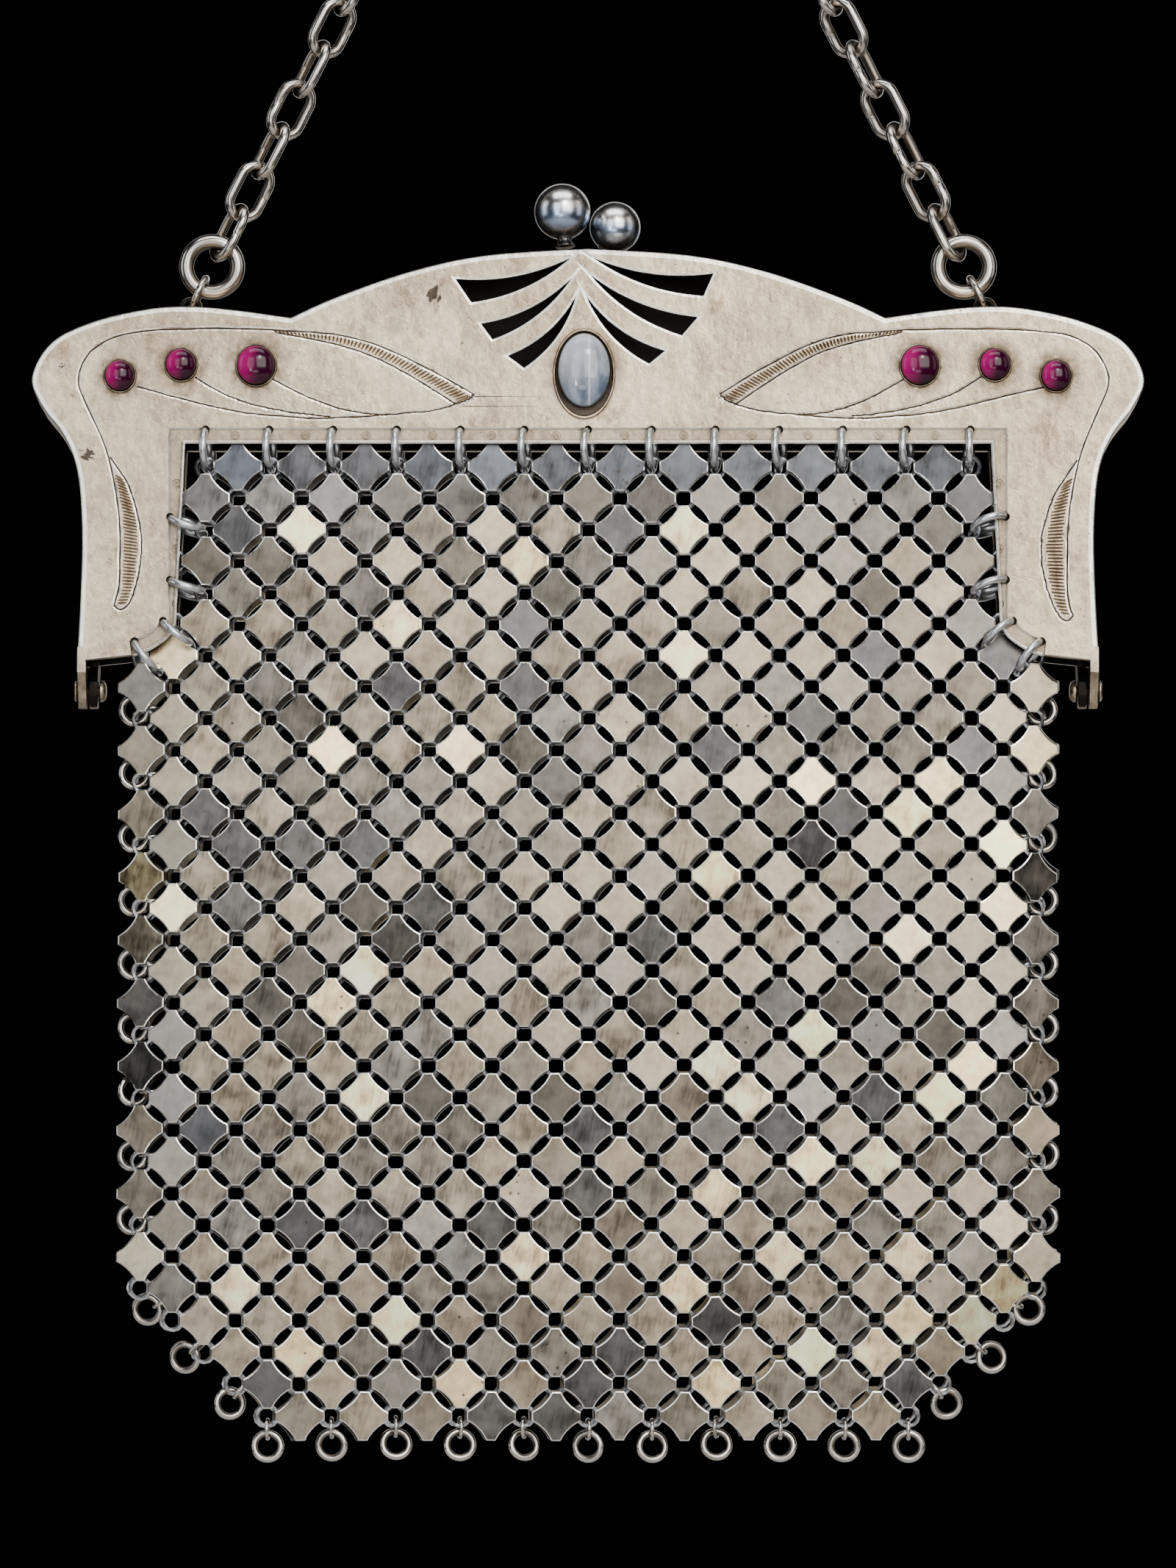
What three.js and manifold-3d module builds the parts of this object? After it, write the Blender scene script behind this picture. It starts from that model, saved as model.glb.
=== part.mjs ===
// A silver mesh purse on a hinged clasp frame, hung by its chain.
// Millimetres, +Z up, the front faces -Y. The origin is where the chain's top link hangs.
import * as THREE from 'three';
import { mergeVertices } from 'three/addons/utils/BufferGeometryUtils.js';
import Module from 'manifold-3d';

const wasm = await Module();
wasm.setup();

// Clasp frame
const frameWidth = 151.3;
const frameHeight = 56.5;
const frameDepth = 10;
const plateThickness = 1;
const rimWall = 1;
const halvesGap = 0.3;
const openingHalfWidth = 55;
const openingDrop = 26.6;

// Recessed ledge that the mesh is sewn to
const ledgeWidth = 1.8;
const ledgeRecess = 0.35;
const sewingHole = 1.1;
const sewingHolesAcross = 13;

// Hinges at the feet of the frame
const earThickness = 1.2;
const earRadius = 2.4;
const earRooting = 2;
const hingeDrop = 3.6;
const pinDiameter = 1.4;
const pinHeadDiameter = 3;
const pinHeadHeight = 0.8;
const pinClearance = 0.3;

// Clearances
const pieceGap = 0.3;
const stoneGap = 0.2;

// Stones
const collarWall = 0.35;
const collarHeight = 0.6;
const stoneGirdle = 0.7;
const moonstoneWidth = 7.2;
const moonstoneHeight = 10;
const moonstoneDome = 2.6;
const garnetDome = 1.9;

// Ball clasp
const neckFoot = 1.3;
const neckTop = 1.1;
const tenonRadius = 0.8;
const tenonLength = 1.2;

// Plate mesh
const plateStepAcross = 4.335;
const plateStepDown = 4.3;
const firstRowDrop = 29.7;
const meshWall = 1.4;
const meshTuck = 0.8;
const meshHalfWidth = 63.4;
const meshHeight = 136.2;
const meshGap = 2.5;
const gapEvery = 6;
const gapRowEvery = 3;
const gapFirstRow = 2;
const gapMargin = 3.75;
const sideRound = 12;

// Chain and its rings
const linkLength = 8.85;
const linkWidth = 6.1;
const linkWire = 1.35;
const linkBite = 0.15;
const linksPerSide = 17;
const linkTwist = 20;
const linksEasing = 4;
const chainRingOuter = 9;
const chainRingWire = 2;
const jumpRingOuter = 5.5;
const jumpRingWire = 0.9;
const eyeRise = 1.8;
const eyeWire = 0.8;
const eyeHalfSpan = 1.2;

// Facets and cuts
const facetTolerance = 0.02;
const weldDistance = 1e-5;
const overcut = 1;
const overshoot = 5;
const mitreLimit = 0.5;
const wireSides = 5;
const archSteps = 6;
const shoulderSteps = 20;
const ringSides = 10;
const linkArcSteps = 4;
const holeSides = 5;
const garnetSides = 10;
const moonstoneSides = 14;
const ballSides = 12;
const ballSteps = 6;
const domeSteps = 3;
const pinSides = 8;
const earSteps = 7;
const eyeSteps = 5;
const fanSteps = 4;

// The outer edge of the frame as shares: across of half its width, down of its height.
// The arch meets the shoulder in a sharp notch.
const archEdge = [
  { across: 0, down: 0 },
  { across: 0.181, down: 0.016 },
  { across: 0.316, down: 0.054 },
  { across: 0.451, down: 0.117 },
  { across: 0.535, down: 0.168 },
];
const shoulderEdge = [
  { across: 0.535, down: 0.168 },
  { across: 0.626, down: 0.151 },
  { across: 0.708, down: 0.141 },
  { across: 0.788, down: 0.146 },
  { across: 0.889, down: 0.177 },
  { across: 0.965, down: 0.228 },
  { across: 1, down: 0.312 },
  { across: 0.982, down: 0.382 },
  { across: 0.943, down: 0.453 },
  { across: 0.918, down: 0.54 },
  { across: 0.909, down: 0.68 },
  { across: 0.911, down: 0.84 },
  { across: 0.917, down: 1 },
];
// The inner edge of a foot, from its sole up to the straight side of the opening:
// out is a share of the way from that side to the frame's widest point.
const footEdge = [
  { out: 0.322, down: 0.985 },
  { out: 0.22, down: 0.971 },
  { out: 0.106, down: 0.942 },
  { out: 0.052, down: 0.91 },
];

// The outline of an ear above its round end, as shares of its radius and of the hinge's drop,
// and the angle below the level at which the round end starts
const earNeck = { across: 0.9, up: 0.45, outerUp: 0.6, startDegrees: 15 };

// The flat crown of a pin's head as a share of its radius, and its edge as a share of its height
const pinCrown = { across: 0.75, edge: 0.45 };

// Fan slots: tip and the two far corners, across of half the frame's width, down of its height
const fanBow = 1.15;
const fanSlots = [
  { tipAcross: -0.03, tipDown: 0.021, topAcross: -0.239, topDown: 0.073, lowAcross: -0.21, lowDown: 0.131 },
  { tipAcross: -0.028, tipDown: 0.069, topAcross: -0.193, topDown: 0.182, lowAcross: -0.172, lowDown: 0.221 },
  { tipAcross: -0.021, tipDown: 0.113, topAcross: -0.145, topDown: 0.26, lowAcross: -0.115, lowDown: 0.29 },
  { tipAcross: 0.007, tipDown: 0.021, topAcross: 0.226, topDown: 0.06, lowAcross: 0.208, lowDown: 0.115 },
  { tipAcross: 0.003, tipDown: 0.062, topAcross: 0.198, topDown: 0.166, lowAcross: 0.169, lowDown: 0.211 },
  { tipAcross: -0.004, tipDown: 0.113, topAcross: 0.139, topDown: 0.248, lowAcross: 0.11, lowDown: 0.28 },
];

// Where the chain's eyes stand and the stones sit: across of half the frame's width, down of its height
const chainEyePlace = { across: 0.711 };
const moonstonePlace = { across: -0.007, down: 0.297 };
const garnets = [
  { name: 'garnet_small', across: 0.842, down: 0.309, diameter: 4.1 },
  { name: 'garnet_mid', across: 0.732, down: 0.282, diameter: 4.2 },
  { name: 'garnet_large', across: 0.597, down: 0.284, diameter: 5.3 },
];

// Balls: foot of the post and centre of the ball, x across the frame, rise above the arch
const claspBalls = [
  { name: 'clasp_ball_front', side: -1, diameter: 7.65, footX: -3.1, ballX: -3.5, ballDepth: 1.9, rise: 5.5 },
  { name: 'clasp_ball_back', side: 1, diameter: 6.95, footX: 2.5, ballX: 3.7, ballDepth: 1.9, rise: 3.9 },
];

// Side holes of the ledge, as shares of the way down its outer line
const sideHoles = [0.36, 0.62, 0.83, 0.98];

// Sections of a mesh panel: down is a share of its height, width a share of the half width it follows
// (of), depth and edgeDepth are how far its outer face stands from the middle plane, as shares of the
// depth at the top.
const meshSections = [
  { down: 0, width: 1.011, of: openingHalfWidth, depth: 1, edgeDepth: 1 },
  { down: 0.19, width: 1.011, of: openingHalfWidth, depth: 1, edgeDepth: 1 },
  { down: 0.222, width: 1, of: meshHalfWidth, depth: 1.03, edgeDepth: 0.62 },
  { down: 0.35, width: 1, of: meshHalfWidth, depth: 1.16, edgeDepth: 0.46 },
  { down: 0.6, width: 1, of: meshHalfWidth, depth: 1.19, edgeDepth: 0.46 },
  { down: 0.826, width: 1, of: meshHalfWidth, depth: 0.95, edgeDepth: 0.46 },
  { down: 1, width: 0.688, of: meshHalfWidth, depth: 0.5, edgeDepth: 0.46 },
];

// Columns of a section over its rounded side, as shares of that side's width
const sideColumns = [1, 0.5, 0.167, 0];

// The chain's length and its spread set how far below its top link the frame hangs.
const linkPitch = linkLength - 2 * linkWire + linkBite;
const chainRingMean = (chainRingOuter - chainRingWire) / 2;
const jumpRingMean = (jumpRingOuter - jumpRingWire) / 2;
const hookInRing = chainRingMean - (chainRingWire + linkWire) / 2 - pieceGap;
const hookInLink = (linkLength - linkWire) / 2 - linkWire + linkBite;
const hookInJump = jumpRingMean - (jumpRingWire + eyeWire) / 2 - pieceGap;
const ringFromJump = chainRingMean - chainRingWire / 2 - pieceGap + jumpRingMean - jumpRingWire / 2;
const ringFromEye = hookInJump + ringFromJump;
const strandLength = ringFromEye + hookInRing + (linksPerSide - 1) * linkPitch + linkLength - linkWire;
const topLinkZ = linkWire - linkWidth / 2;
const halfDepth = frameDepth / 2;
const rimEnd = halvesGap / 2;
const chainPlane = (halfDepth + rimEnd) / 2;
const chainEyeAcross = (chainEyePlace.across * frameWidth) / 2;
const strandSpread = chainEyeAcross - hookInLink;
const eyeZ = topLinkZ - Math.sqrt(strandLength ** 2 - strandSpread ** 2 - chainPlane ** 2);

// The outer edge is drawn from the arch's top down; the eye stands on it, and that sets the frame's height.
const point = (x, z) => new THREE.Vector2(x, z);
const edgePoint = ({ across, down }) => point((across * frameWidth) / 2, -down * frameHeight);
const smooth = (rows, steps) => new THREE.SplineCurve(rows.map(edgePoint)).getPoints(steps);
const edgeShape = [...smooth(archEdge, archSteps), ...smooth(shoulderEdge, shoulderSteps).slice(1)];
const edgeBeyondEye = edgeShape.findIndex((p) => p.x > chainEyeAcross);
const frameTop = eyeZ - eyeRise - edgeShape[edgeBeyondEye].y;

// Heights and depths that follow
const frameFoot = frameTop - frameHeight;
const openingTop = frameTop - openingDrop;
const plateBack = halfDepth - plateThickness;
const hingeZ = frameFoot - hingeDrop;
const meshTop = openingTop + meshTuck;
const meshDepth = plateBack - pieceGap;
const meshFoot = meshTop - meshHeight;

const silver = (color, roughness) => new THREE.MeshStandardMaterial({ color, roughness, metalness: 1 });
const frameSilver = silver(0xc9bfae, 0.38);
const meshSilver = silver(0xbdb7ab, 0.42);
const chainSilver = silver(0xc4bfb6, 0.28);
const ballSilver = silver(0xb9bcc4, 0.1);
const garnetRed = new THREE.MeshStandardMaterial({ color: 0x7a0f3a, roughness: 0.08, metalness: 0 });
const moonWhite = new THREE.MeshStandardMaterial({ color: 0xc8d2e2, roughness: 0.1, metalness: 0 });

const purse = new THREE.Group();

// Booleans

function toSolid(geometry) {
  const bare = geometry.clone();
  bare.deleteAttribute('normal');
  bare.deleteAttribute('uv');
  const merged = mergeVertices(bare, weldDistance);
  return new wasm.Manifold(new wasm.Mesh({
    numProp: 3,
    vertProperties: new Float32Array(merged.attributes.position.array),
    triVerts: new Uint32Array(merged.index.array),
  }));
}

// Facets smaller than the tolerance are merged away.
function toGeometry(solid) {
  const mesh = solid.simplify(facetTolerance).getMesh();
  const geometry = new THREE.BufferGeometry();
  geometry.setAttribute('position', new THREE.BufferAttribute(new Float32Array(mesh.vertProperties), 3));
  geometry.setIndex(new THREE.BufferAttribute(new Uint32Array(mesh.triVerts), 1));
  geometry.computeVertexNormals();
  return geometry;
}

function addPiece(name, geometry, material) {
  const mesh = new THREE.Mesh(geometry, material);
  mesh.name = name;
  purse.add(mesh);
  return mesh;
}

// Flat shapes in the X-Z plane

const framePoint = (row) => edgePoint(row).add(point(0, frameTop));
const mirrored = (points) => points.map((p) => point(-p.x, p.y)).reverse();

function slab(points, yFrom, yTo) {
  const geometry = new THREE.ExtrudeGeometry(new THREE.Shape(points), {
    depth: yTo - yFrom,
    bevelEnabled: false,
  });
  return toSolid(geometry.rotateX(Math.PI / 2).translate(0, yTo, 0));
}

// Moves an open line sideways, to its right as it runs; ends move square to their segment.
function offsetLine(points, distance) {
  return points.map((p, i) => {
    const before = points[Math.max(i - 1, 0)];
    const after = points[Math.min(i + 1, points.length - 1)];
    const arriving = p.clone().sub(before).normalize();
    const leaving = after.clone().sub(p).normalize();
    const along = arriving.clone().add(leaving).normalize();
    const bend = Math.max(along.dot(i > 0 ? arriving : leaving), mitreLimit);
    return point(p.x + (along.y * distance) / bend, p.y - (along.x * distance) / bend);
  });
}

const outerEdge = edgeShape.map((p) => point(p.x, p.y + frameTop));
const footPoint = ({ out, down }) => point(
  openingHalfWidth + out * (frameWidth / 2 - openingHalfWidth),
  frameTop - down * frameHeight,
);
const innerEdge = [...footEdge.map(footPoint), point(openingHalfWidth, openingTop)];

function frameOutline() {
  const right = [...outerEdge, ...innerEdge];
  return [...right, ...mirrored(right.slice(1))];
}

function rimCavity() {
  const inside = offsetLine(outerEdge, rimWall);
  inside[0].x = 0;
  const last = inside[inside.length - 1];
  const right = [...inside, point(last.x, last.y - overshoot)];
  return [...right, ...mirrored(right.slice(1))];
}

// The ledge's outer line, from the middle of the opening's top down to the foot
function ledgeLine() {
  const corner = point(openingHalfWidth + ledgeWidth, openingTop + ledgeWidth);
  const down = [...innerEdge].reverse();
  const side = offsetLine(down, -ledgeWidth).slice(1);
  return { corner, side };
}

function ledgeRegion() {
  const { corner, side } = ledgeLine();
  const right = [
    point(0, openingTop + ledgeWidth),
    corner,
    ...side,
    footPoint(footEdge[0]),
    point(openingHalfWidth, frameFoot - overshoot),
  ];
  return [...right, ...mirrored(right.slice(1))];
}

function sewingPoints() {
  const { corner, side } = ledgeLine();
  const half = (sewingHolesAcross - 1) / 2;
  const steps = Array.from({ length: sewingHolesAcross }, (_, i) => i - half);
  const top = steps.map((step) => point(step * 2 * plateStepAcross, corner.y));
  const path = new THREE.CurvePath();
  [corner, ...side].forEach((p, i, all) => {
    if (i > 0) path.add(new THREE.LineCurve(all[i - 1], p));
  });
  const right = sideHoles.map((share) => path.getPointAt(share));
  return [...top, ...right, ...mirrored(right)];
}

// One half of the frame: side is -1 for the front, 1 for the back.
function frameHalf(side) {
  const near = (a, b) => (side < 0 ? [-b, -a] : [a, b]);
  let solid = slab(frameOutline(), ...near(rimEnd, halfDepth));
  solid = solid.subtract(slab(rimCavity(), ...near(rimEnd - overshoot, plateBack)));
  const face = [halfDepth - ledgeRecess, halfDepth + overshoot];
  solid = solid.subtract(slab(ledgeRegion(), ...near(...face)));
  for (const centre of sewingPoints()) {
    const through = near(plateBack - overcut, halfDepth + overcut);
    solid = solid.subtract(slabDisc(centre, sewingHole / 2, holeSides, ...through));
  }
  return solid;
}

function slabDisc(centre, radius, sides, yFrom, yTo) {
  const disc = new THREE.CylinderGeometry(radius, radius, yTo - yFrom, sides);
  return toSolid(disc.translate(centre.x, (yFrom + yTo) / 2, centre.y));
}

function fanSlot(row) {
  const tip = framePoint({ across: row.tipAcross, down: row.tipDown });
  const top = framePoint({ across: row.topAcross, down: row.topDown });
  const low = framePoint({ across: row.lowAcross, down: row.lowDown });
  const edge = (from, to) => {
    const middle = from.clone().add(to).multiplyScalar(0.5);
    const sideways = to.clone().sub(from).normalize().multiplyScalar(fanBow * 2);
    const drop = sideways.x < 0 ? point(-sideways.y, sideways.x) : point(sideways.y, -sideways.x);
    return new THREE.QuadraticBezierCurve(from, middle.add(drop), to).getPoints(fanSteps);
  };
  const outline = [...edge(tip, top), ...edge(tip, low).reverse().slice(0, -1)];
  return slab(outline, -halfDepth - overcut, -plateBack + overcut);
}

// A ring of rectangular section standing on the front plate, stretched to an oval
function collar(centre, width, height, sides) {
  const inner = 1 + (2 * stoneGap) / width;
  const outer = inner + (2 * collarWall) / width;
  const foot = -halfDepth + plateThickness / 2;
  const head = -halfDepth - collarHeight;
  const profile = [[inner, head], [outer, head], [outer, foot], [inner, foot], [inner, head]];
  const ring = new THREE.LatheGeometry(profile.map(([r, y]) => new THREE.Vector2(r, y)), sides);
  ring.scale(width / 2, 1, height / 2).translate(centre.x, 0, centre.y);
  return toSolid(flipIfInside(ring));
}

// Lathe faces point inwards when the profile runs downwards, so such a geometry is turned round.
function flipIfInside(geometry) {
  const position = geometry.attributes.position;
  const index = geometry.index;
  const a = new THREE.Vector3();
  const b = new THREE.Vector3();
  const c = new THREE.Vector3();
  let volume = 0;
  for (let i = 0; i < index.count; i += 3) {
    a.fromBufferAttribute(position, index.getX(i));
    b.fromBufferAttribute(position, index.getX(i + 1));
    c.fromBufferAttribute(position, index.getX(i + 2));
    volume += a.dot(b.cross(c));
  }
  if (volume < 0) {
    for (let i = 0; i < index.count; i += 3) {
      const first = index.getX(i);
      index.setX(i, index.getX(i + 2));
      index.setX(i + 2, first);
    }
  }
  return geometry;
}

function lathe(profile, sides) {
  const points = profile.map(([r, y]) => new THREE.Vector2(r, y));
  return flipIfInside(new THREE.LatheGeometry(points, sides));
}

// Hinge ears: a plate square to X that runs from the rim down to a round end about the pin
function ear(side, across) {
  const reach = halfDepth * side;
  const rim = rimEnd * side;
  const sweep = 180 - 2 * earNeck.startDegrees;
  const end = Array.from({ length: earSteps }, (_, i) => {
    const angle = -THREE.MathUtils.degToRad(earNeck.startDegrees + (sweep * i) / (earSteps - 1));
    return point(Math.cos(angle) * earRadius * side, hingeZ + Math.sin(angle) * earRadius);
  });
  const outline = [
    point(reach, frameFoot + earRooting),
    point(rim, frameFoot + earRooting),
    point(rim, frameFoot - pieceGap),
    point(-earRadius * side * earNeck.across, hingeZ + earRadius * earNeck.up),
    ...end.reverse(),
    point(reach, hingeZ + hingeDrop * earNeck.outerUp),
  ];
  const flat = new THREE.ExtrudeGeometry(new THREE.Shape(outline), {
    depth: earThickness,
    bevelEnabled: false,
  });
  flat.applyMatrix4(new THREE.Matrix4().makeBasis(
    new THREE.Vector3(0, 1, 0),
    new THREE.Vector3(0, 0, 1),
    new THREE.Vector3(1, 0, 0),
  ));
  return toSolid(flat.translate(across - earThickness / 2, 0, 0));
}

const footOuter = framePoint(shoulderEdge[shoulderEdge.length - 1]).x;
const outerEarX = footOuter - earThickness / 2;
const innerEarX = outerEarX - earThickness - pieceGap;

function pinHole(direction) {
  const radius = pinDiameter / 2 + pinClearance;
  const length = 2 * (2 * earThickness + pieceGap + overcut);
  const hole = new THREE.CylinderGeometry(radius, radius, length, pinSides);
  return toSolid(hole.rotateZ(Math.PI / 2).translate(direction * outerEarX, 0, hingeZ));
}

function addHinge(solid, side) {
  let joined = solid;
  for (const direction of [-1, 1]) {
    const across = side < 0 ? outerEarX : innerEarX;
    joined = joined.add(ear(side, direction * across)).subtract(pinHole(direction));
  }
  return joined;
}

function hingePin(direction) {
  const inside = innerEarX - earThickness / 2 - pieceGap;
  const outside = footOuter + pieceGap;
  const shaft = pinDiameter / 2;
  const head = pinHeadDiameter / 2;
  const crown = head * pinCrown.across;
  const edge = pinHeadHeight * pinCrown.edge;
  const profile = [
    [0, inside - pinHeadHeight], [crown, inside - pinHeadHeight], [head, inside - edge], [head, inside],
    [shaft, inside], [shaft, outside], [head, outside], [crown, outside + edge], [0, outside + edge],
  ];
  const pin = lathe(profile, pinSides).rotateZ(-Math.PI / 2);
  if (direction < 0) pin.rotateZ(Math.PI);
  return pin.translate(0, 0, hingeZ);
}

// Stones

function addStone(name, centre, width, height, dome, sides, material) {
  const back = -halfDepth - pieceGap;
  const girdle = back - stoneGirdle;
  const rise = dome - stoneGirdle;
  const arc = Array.from({ length: domeSteps }, (_, i) => {
    const angle = (Math.PI / 2) * (i / domeSteps);
    return [Math.cos(angle), girdle - rise * Math.sin(angle)];
  });
  const stone = lathe([[0, back], [1, back], ...arc, [0, girdle - rise]], sides);
  addPiece(name, stone.scale(width / 2, 1, height / 2).translate(centre.x, 0, centre.y), material);
}

// Ball clasp

// The foot of a leaning post is lifted so that its lower edge clears the rim.
function ballPlace(row) {
  const depth = (halfDepth + rimEnd) / 2;
  const foot = new THREE.Vector3(row.footX, row.side * depth, frameTop + pieceGap);
  const centre = new THREE.Vector3(row.ballX, row.side * row.ballDepth, frameTop + row.rise);
  const reach = Math.hypot(centre.x - foot.x, centre.y - foot.y);
  foot.z += (neckFoot * reach) / centre.distanceTo(foot);
  return { foot, centre };
}

function alongPost(geometry, row) {
  const { foot, centre } = ballPlace(row);
  const lean = new THREE.Quaternion().setFromUnitVectors(
    new THREE.Vector3(0, 1, 0),
    centre.clone().sub(foot).normalize(),
  );
  return geometry.applyQuaternion(lean).translate(foot.x, foot.y, foot.z);
}

function tenonHole(row) {
  const radius = tenonRadius + pieceGap;
  const length = 2 * (tenonLength + overcut);
  return toSolid(alongPost(new THREE.CylinderGeometry(radius, radius, length, holeSides), row));
}

function claspBall(row) {
  const { foot, centre } = ballPlace(row);
  const height = foot.distanceTo(centre);
  const radius = row.diameter / 2;
  const start = -Math.acos(neckTop / radius);
  const ball = Array.from({ length: ballSteps }, (_, i) => {
    const angle = start + (Math.PI / 2 - start) * (i / ballSteps);
    return [radius * Math.cos(angle), height + radius * Math.sin(angle)];
  });
  const post = [[0, -tenonLength], [tenonRadius, -tenonLength], [tenonRadius, 0], [neckFoot, 0]];
  return alongPost(lathe([...post, ...ball, [0, height + radius]], ballSides), row);
}

// Plate mesh: a thin wall through the sections, cut through in square gaps.

function meshRow(row) {
  const width = row.width * row.of;
  const depth = row.depth * meshDepth;
  const edge = row.edgeDepth * meshDepth;
  const half = sideColumns.map((share) => width - sideRound * share);
  const across = [...half.map((x) => -x).reverse(), ...half];
  return across.map((x) => {
    const turn = Math.max(Math.abs(x) - (width - sideRound), 0) / sideRound;
    const fall = (depth - edge) * turn * turn;
    return { x, y: depth - fall, z: meshTop - row.down * meshHeight };
  });
}

function meshWallSolid(side) {
  const rows = meshSections.map(meshRow);
  const columns = rows[0].length;
  const positions = [];
  for (const layer of [0, meshWall]) {
    for (const row of rows) {
      for (const p of row) positions.push(p.x, side * (p.y - layer), p.z);
    }
  }
  const layerSize = rows.length * columns;
  const at = (layer, r, c) => layer * layerSize + r * columns + c;
  const triangles = [];
  const quad = (a, b, c, d) => triangles.push(a, b, c, a, c, d);
  for (let r = 0; r < rows.length - 1; r += 1) {
    for (let c = 0; c < columns - 1; c += 1) {
      quad(at(0, r, c), at(0, r + 1, c), at(0, r + 1, c + 1), at(0, r, c + 1));
      quad(at(1, r, c), at(1, r, c + 1), at(1, r + 1, c + 1), at(1, r + 1, c));
    }
    quad(at(0, r, 0), at(1, r, 0), at(1, r + 1, 0), at(0, r + 1, 0));
    const e = columns - 1;
    quad(at(0, r, e), at(0, r + 1, e), at(1, r + 1, e), at(1, r, e));
  }
  const last = rows.length - 1;
  for (let c = 0; c < columns - 1; c += 1) {
    quad(at(0, 0, c), at(0, 0, c + 1), at(1, 0, c + 1), at(1, 0, c));
    quad(at(0, last, c), at(1, last, c), at(1, last, c + 1), at(0, last, c + 1));
  }
  const geometry = new THREE.BufferGeometry();
  geometry.setAttribute('position', new THREE.BufferAttribute(new Float32Array(positions), 3));
  geometry.setIndex(triangles);
  return toSolid(flipIfInside(geometry));
}

// The half width of the panel at a height, between its sections
function meshHalfWidthAt(z) {
  const down = (meshTop - z) / meshHeight;
  const next = meshSections.findIndex((row) => row.down >= down);
  const below = meshSections[next];
  const above = meshSections[next - 1];
  const share = (down - above.down) / (below.down - above.down);
  return above.width * above.of * (1 - share) + below.width * below.of * share;
}

const plateRowZ = (row) => frameTop - firstRowDrop - row * plateStepDown;

function meshPanel(side) {
  let panel = meshWallSolid(side);
  const period = gapEvery * plateStepAcross;
  for (let row = gapFirstRow; plateRowZ(row) > meshFoot + gapMargin; row += gapRowEvery) {
    const z = plateRowZ(row);
    const room = meshHalfWidthAt(z - meshGap) - gapMargin;
    const shift = row % 2 === 0 ? 0 : period / 2;
    const first = shift - period * Math.floor((room + shift) / period);
    for (let x = first; x <= room; x += period) {
      const gap = new THREE.BoxGeometry(meshGap, frameDepth, meshGap);
      panel = panel.subtract(toSolid(gap.translate(x, side * (frameDepth / 2 + rimEnd), z)));
    }
  }
  return panel;
}

// Chain

function linkGeometry() {
  const round = (linkWidth - linkWire) / 2;
  const straight = (linkLength - linkWidth) / 2;
  const centres = [];
  for (const end of [1, -1]) {
    for (let i = 0; i <= linkArcSteps; i += 1) {
      const angle = (Math.PI * i) / linkArcSteps;
      const out = new THREE.Vector3(Math.cos(angle), Math.sin(angle), 0).multiplyScalar(end);
      const place = out.clone().multiplyScalar(round).add(new THREE.Vector3(0, straight * end, 0));
      centres.push({ place, out });
    }
  }
  return wireLoop(centres, linkWire / 2, true);
}

// A wire through centres; out is square to the wire, in the plane of the bend.
function wireLoop(centres, radius, closed) {
  const positions = [];
  const up = new THREE.Vector3(0, 0, 1);
  for (const { place, out } of centres) {
    for (let k = 0; k < wireSides; k += 1) {
      const angle = Math.PI + (2 * Math.PI * k) / wireSides;
      const offset = out.clone().multiplyScalar(Math.cos(angle) * radius);
      offset.addScaledVector(up, Math.sin(angle) * radius).add(place);
      positions.push(offset.x, offset.y, offset.z);
    }
  }
  const triangles = [];
  const count = centres.length;
  for (let i = 0; i < (closed ? count : count - 1); i += 1) {
    const here = i * wireSides;
    const there = ((i + 1) % count) * wireSides;
    for (let k = 0; k < wireSides; k += 1) {
      const next = (k + 1) % wireSides;
      triangles.push(here + k, there + k, there + next, here + k, there + next, here + next);
    }
  }
  if (!closed) {
    const last = (count - 1) * wireSides;
    for (let k = 1; k < wireSides - 1; k += 1) {
      triangles.push(0, k, k + 1);
      triangles.push(last, last + k + 1, last + k);
    }
  }
  const geometry = new THREE.BufferGeometry();
  geometry.setAttribute('position', new THREE.BufferAttribute(new Float32Array(positions), 3));
  geometry.setIndex(triangles);
  return flipIfInside(geometry);
}

// Where a strand starts at its eye, and the way it runs up to the top link
function chainEnd(direction) {
  const eye = new THREE.Vector3(direction * chainEyeAcross, chainPlane, eyeZ);
  const hook = new THREE.Vector3(direction * hookInLink, 0, topLinkZ);
  return { eye, along: hook.sub(eye).normalize() };
}

// Turns a link, made in the X-Y plane with its length along Y, to lie along a line at a twist.
function placeLink(centre, along, twistDegrees) {
  const sideways = new THREE.Vector3(0, 1, 0).cross(along).normalize();
  const facing = sideways.clone().cross(along).normalize();
  const twist = THREE.MathUtils.degToRad(twistDegrees);
  const across = sideways.multiplyScalar(Math.cos(twist)).addScaledVector(facing, Math.sin(twist));
  const normal = across.clone().cross(along);
  const frame = new THREE.Matrix4().makeBasis(across, along, normal).setPosition(centre);
  return toSolid(linkGeometry().applyMatrix4(frame));
}

// Links turn by a quarter from one to the next; near the top the twist eases to the upright top link.
function chainSolid() {
  const links = [placeLink(new THREE.Vector3(0, 0, topLinkZ), new THREE.Vector3(1, 0, 0), 0)];
  for (const direction of [-1, 1]) {
    const { eye, along } = chainEnd(direction);
    for (let i = 0; i < linksPerSide; i += 1) {
      const distance = ringFromEye + hookInRing + (linkLength - linkWire) / 2 + i * linkPitch;
      const fromTop = linksPerSide - i;
      const eased = linkTwist * Math.min((fromTop - 1) / linksEasing, 1);
      const quarter = fromTop % 2 === 1 ? 90 : 0;
      const centre = eye.clone().addScaledVector(along, distance);
      links.push(placeLink(centre, along, direction * (quarter + eased)));
    }
  }
  return links.reduce((chain, link) => chain.add(link));
}

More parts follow.
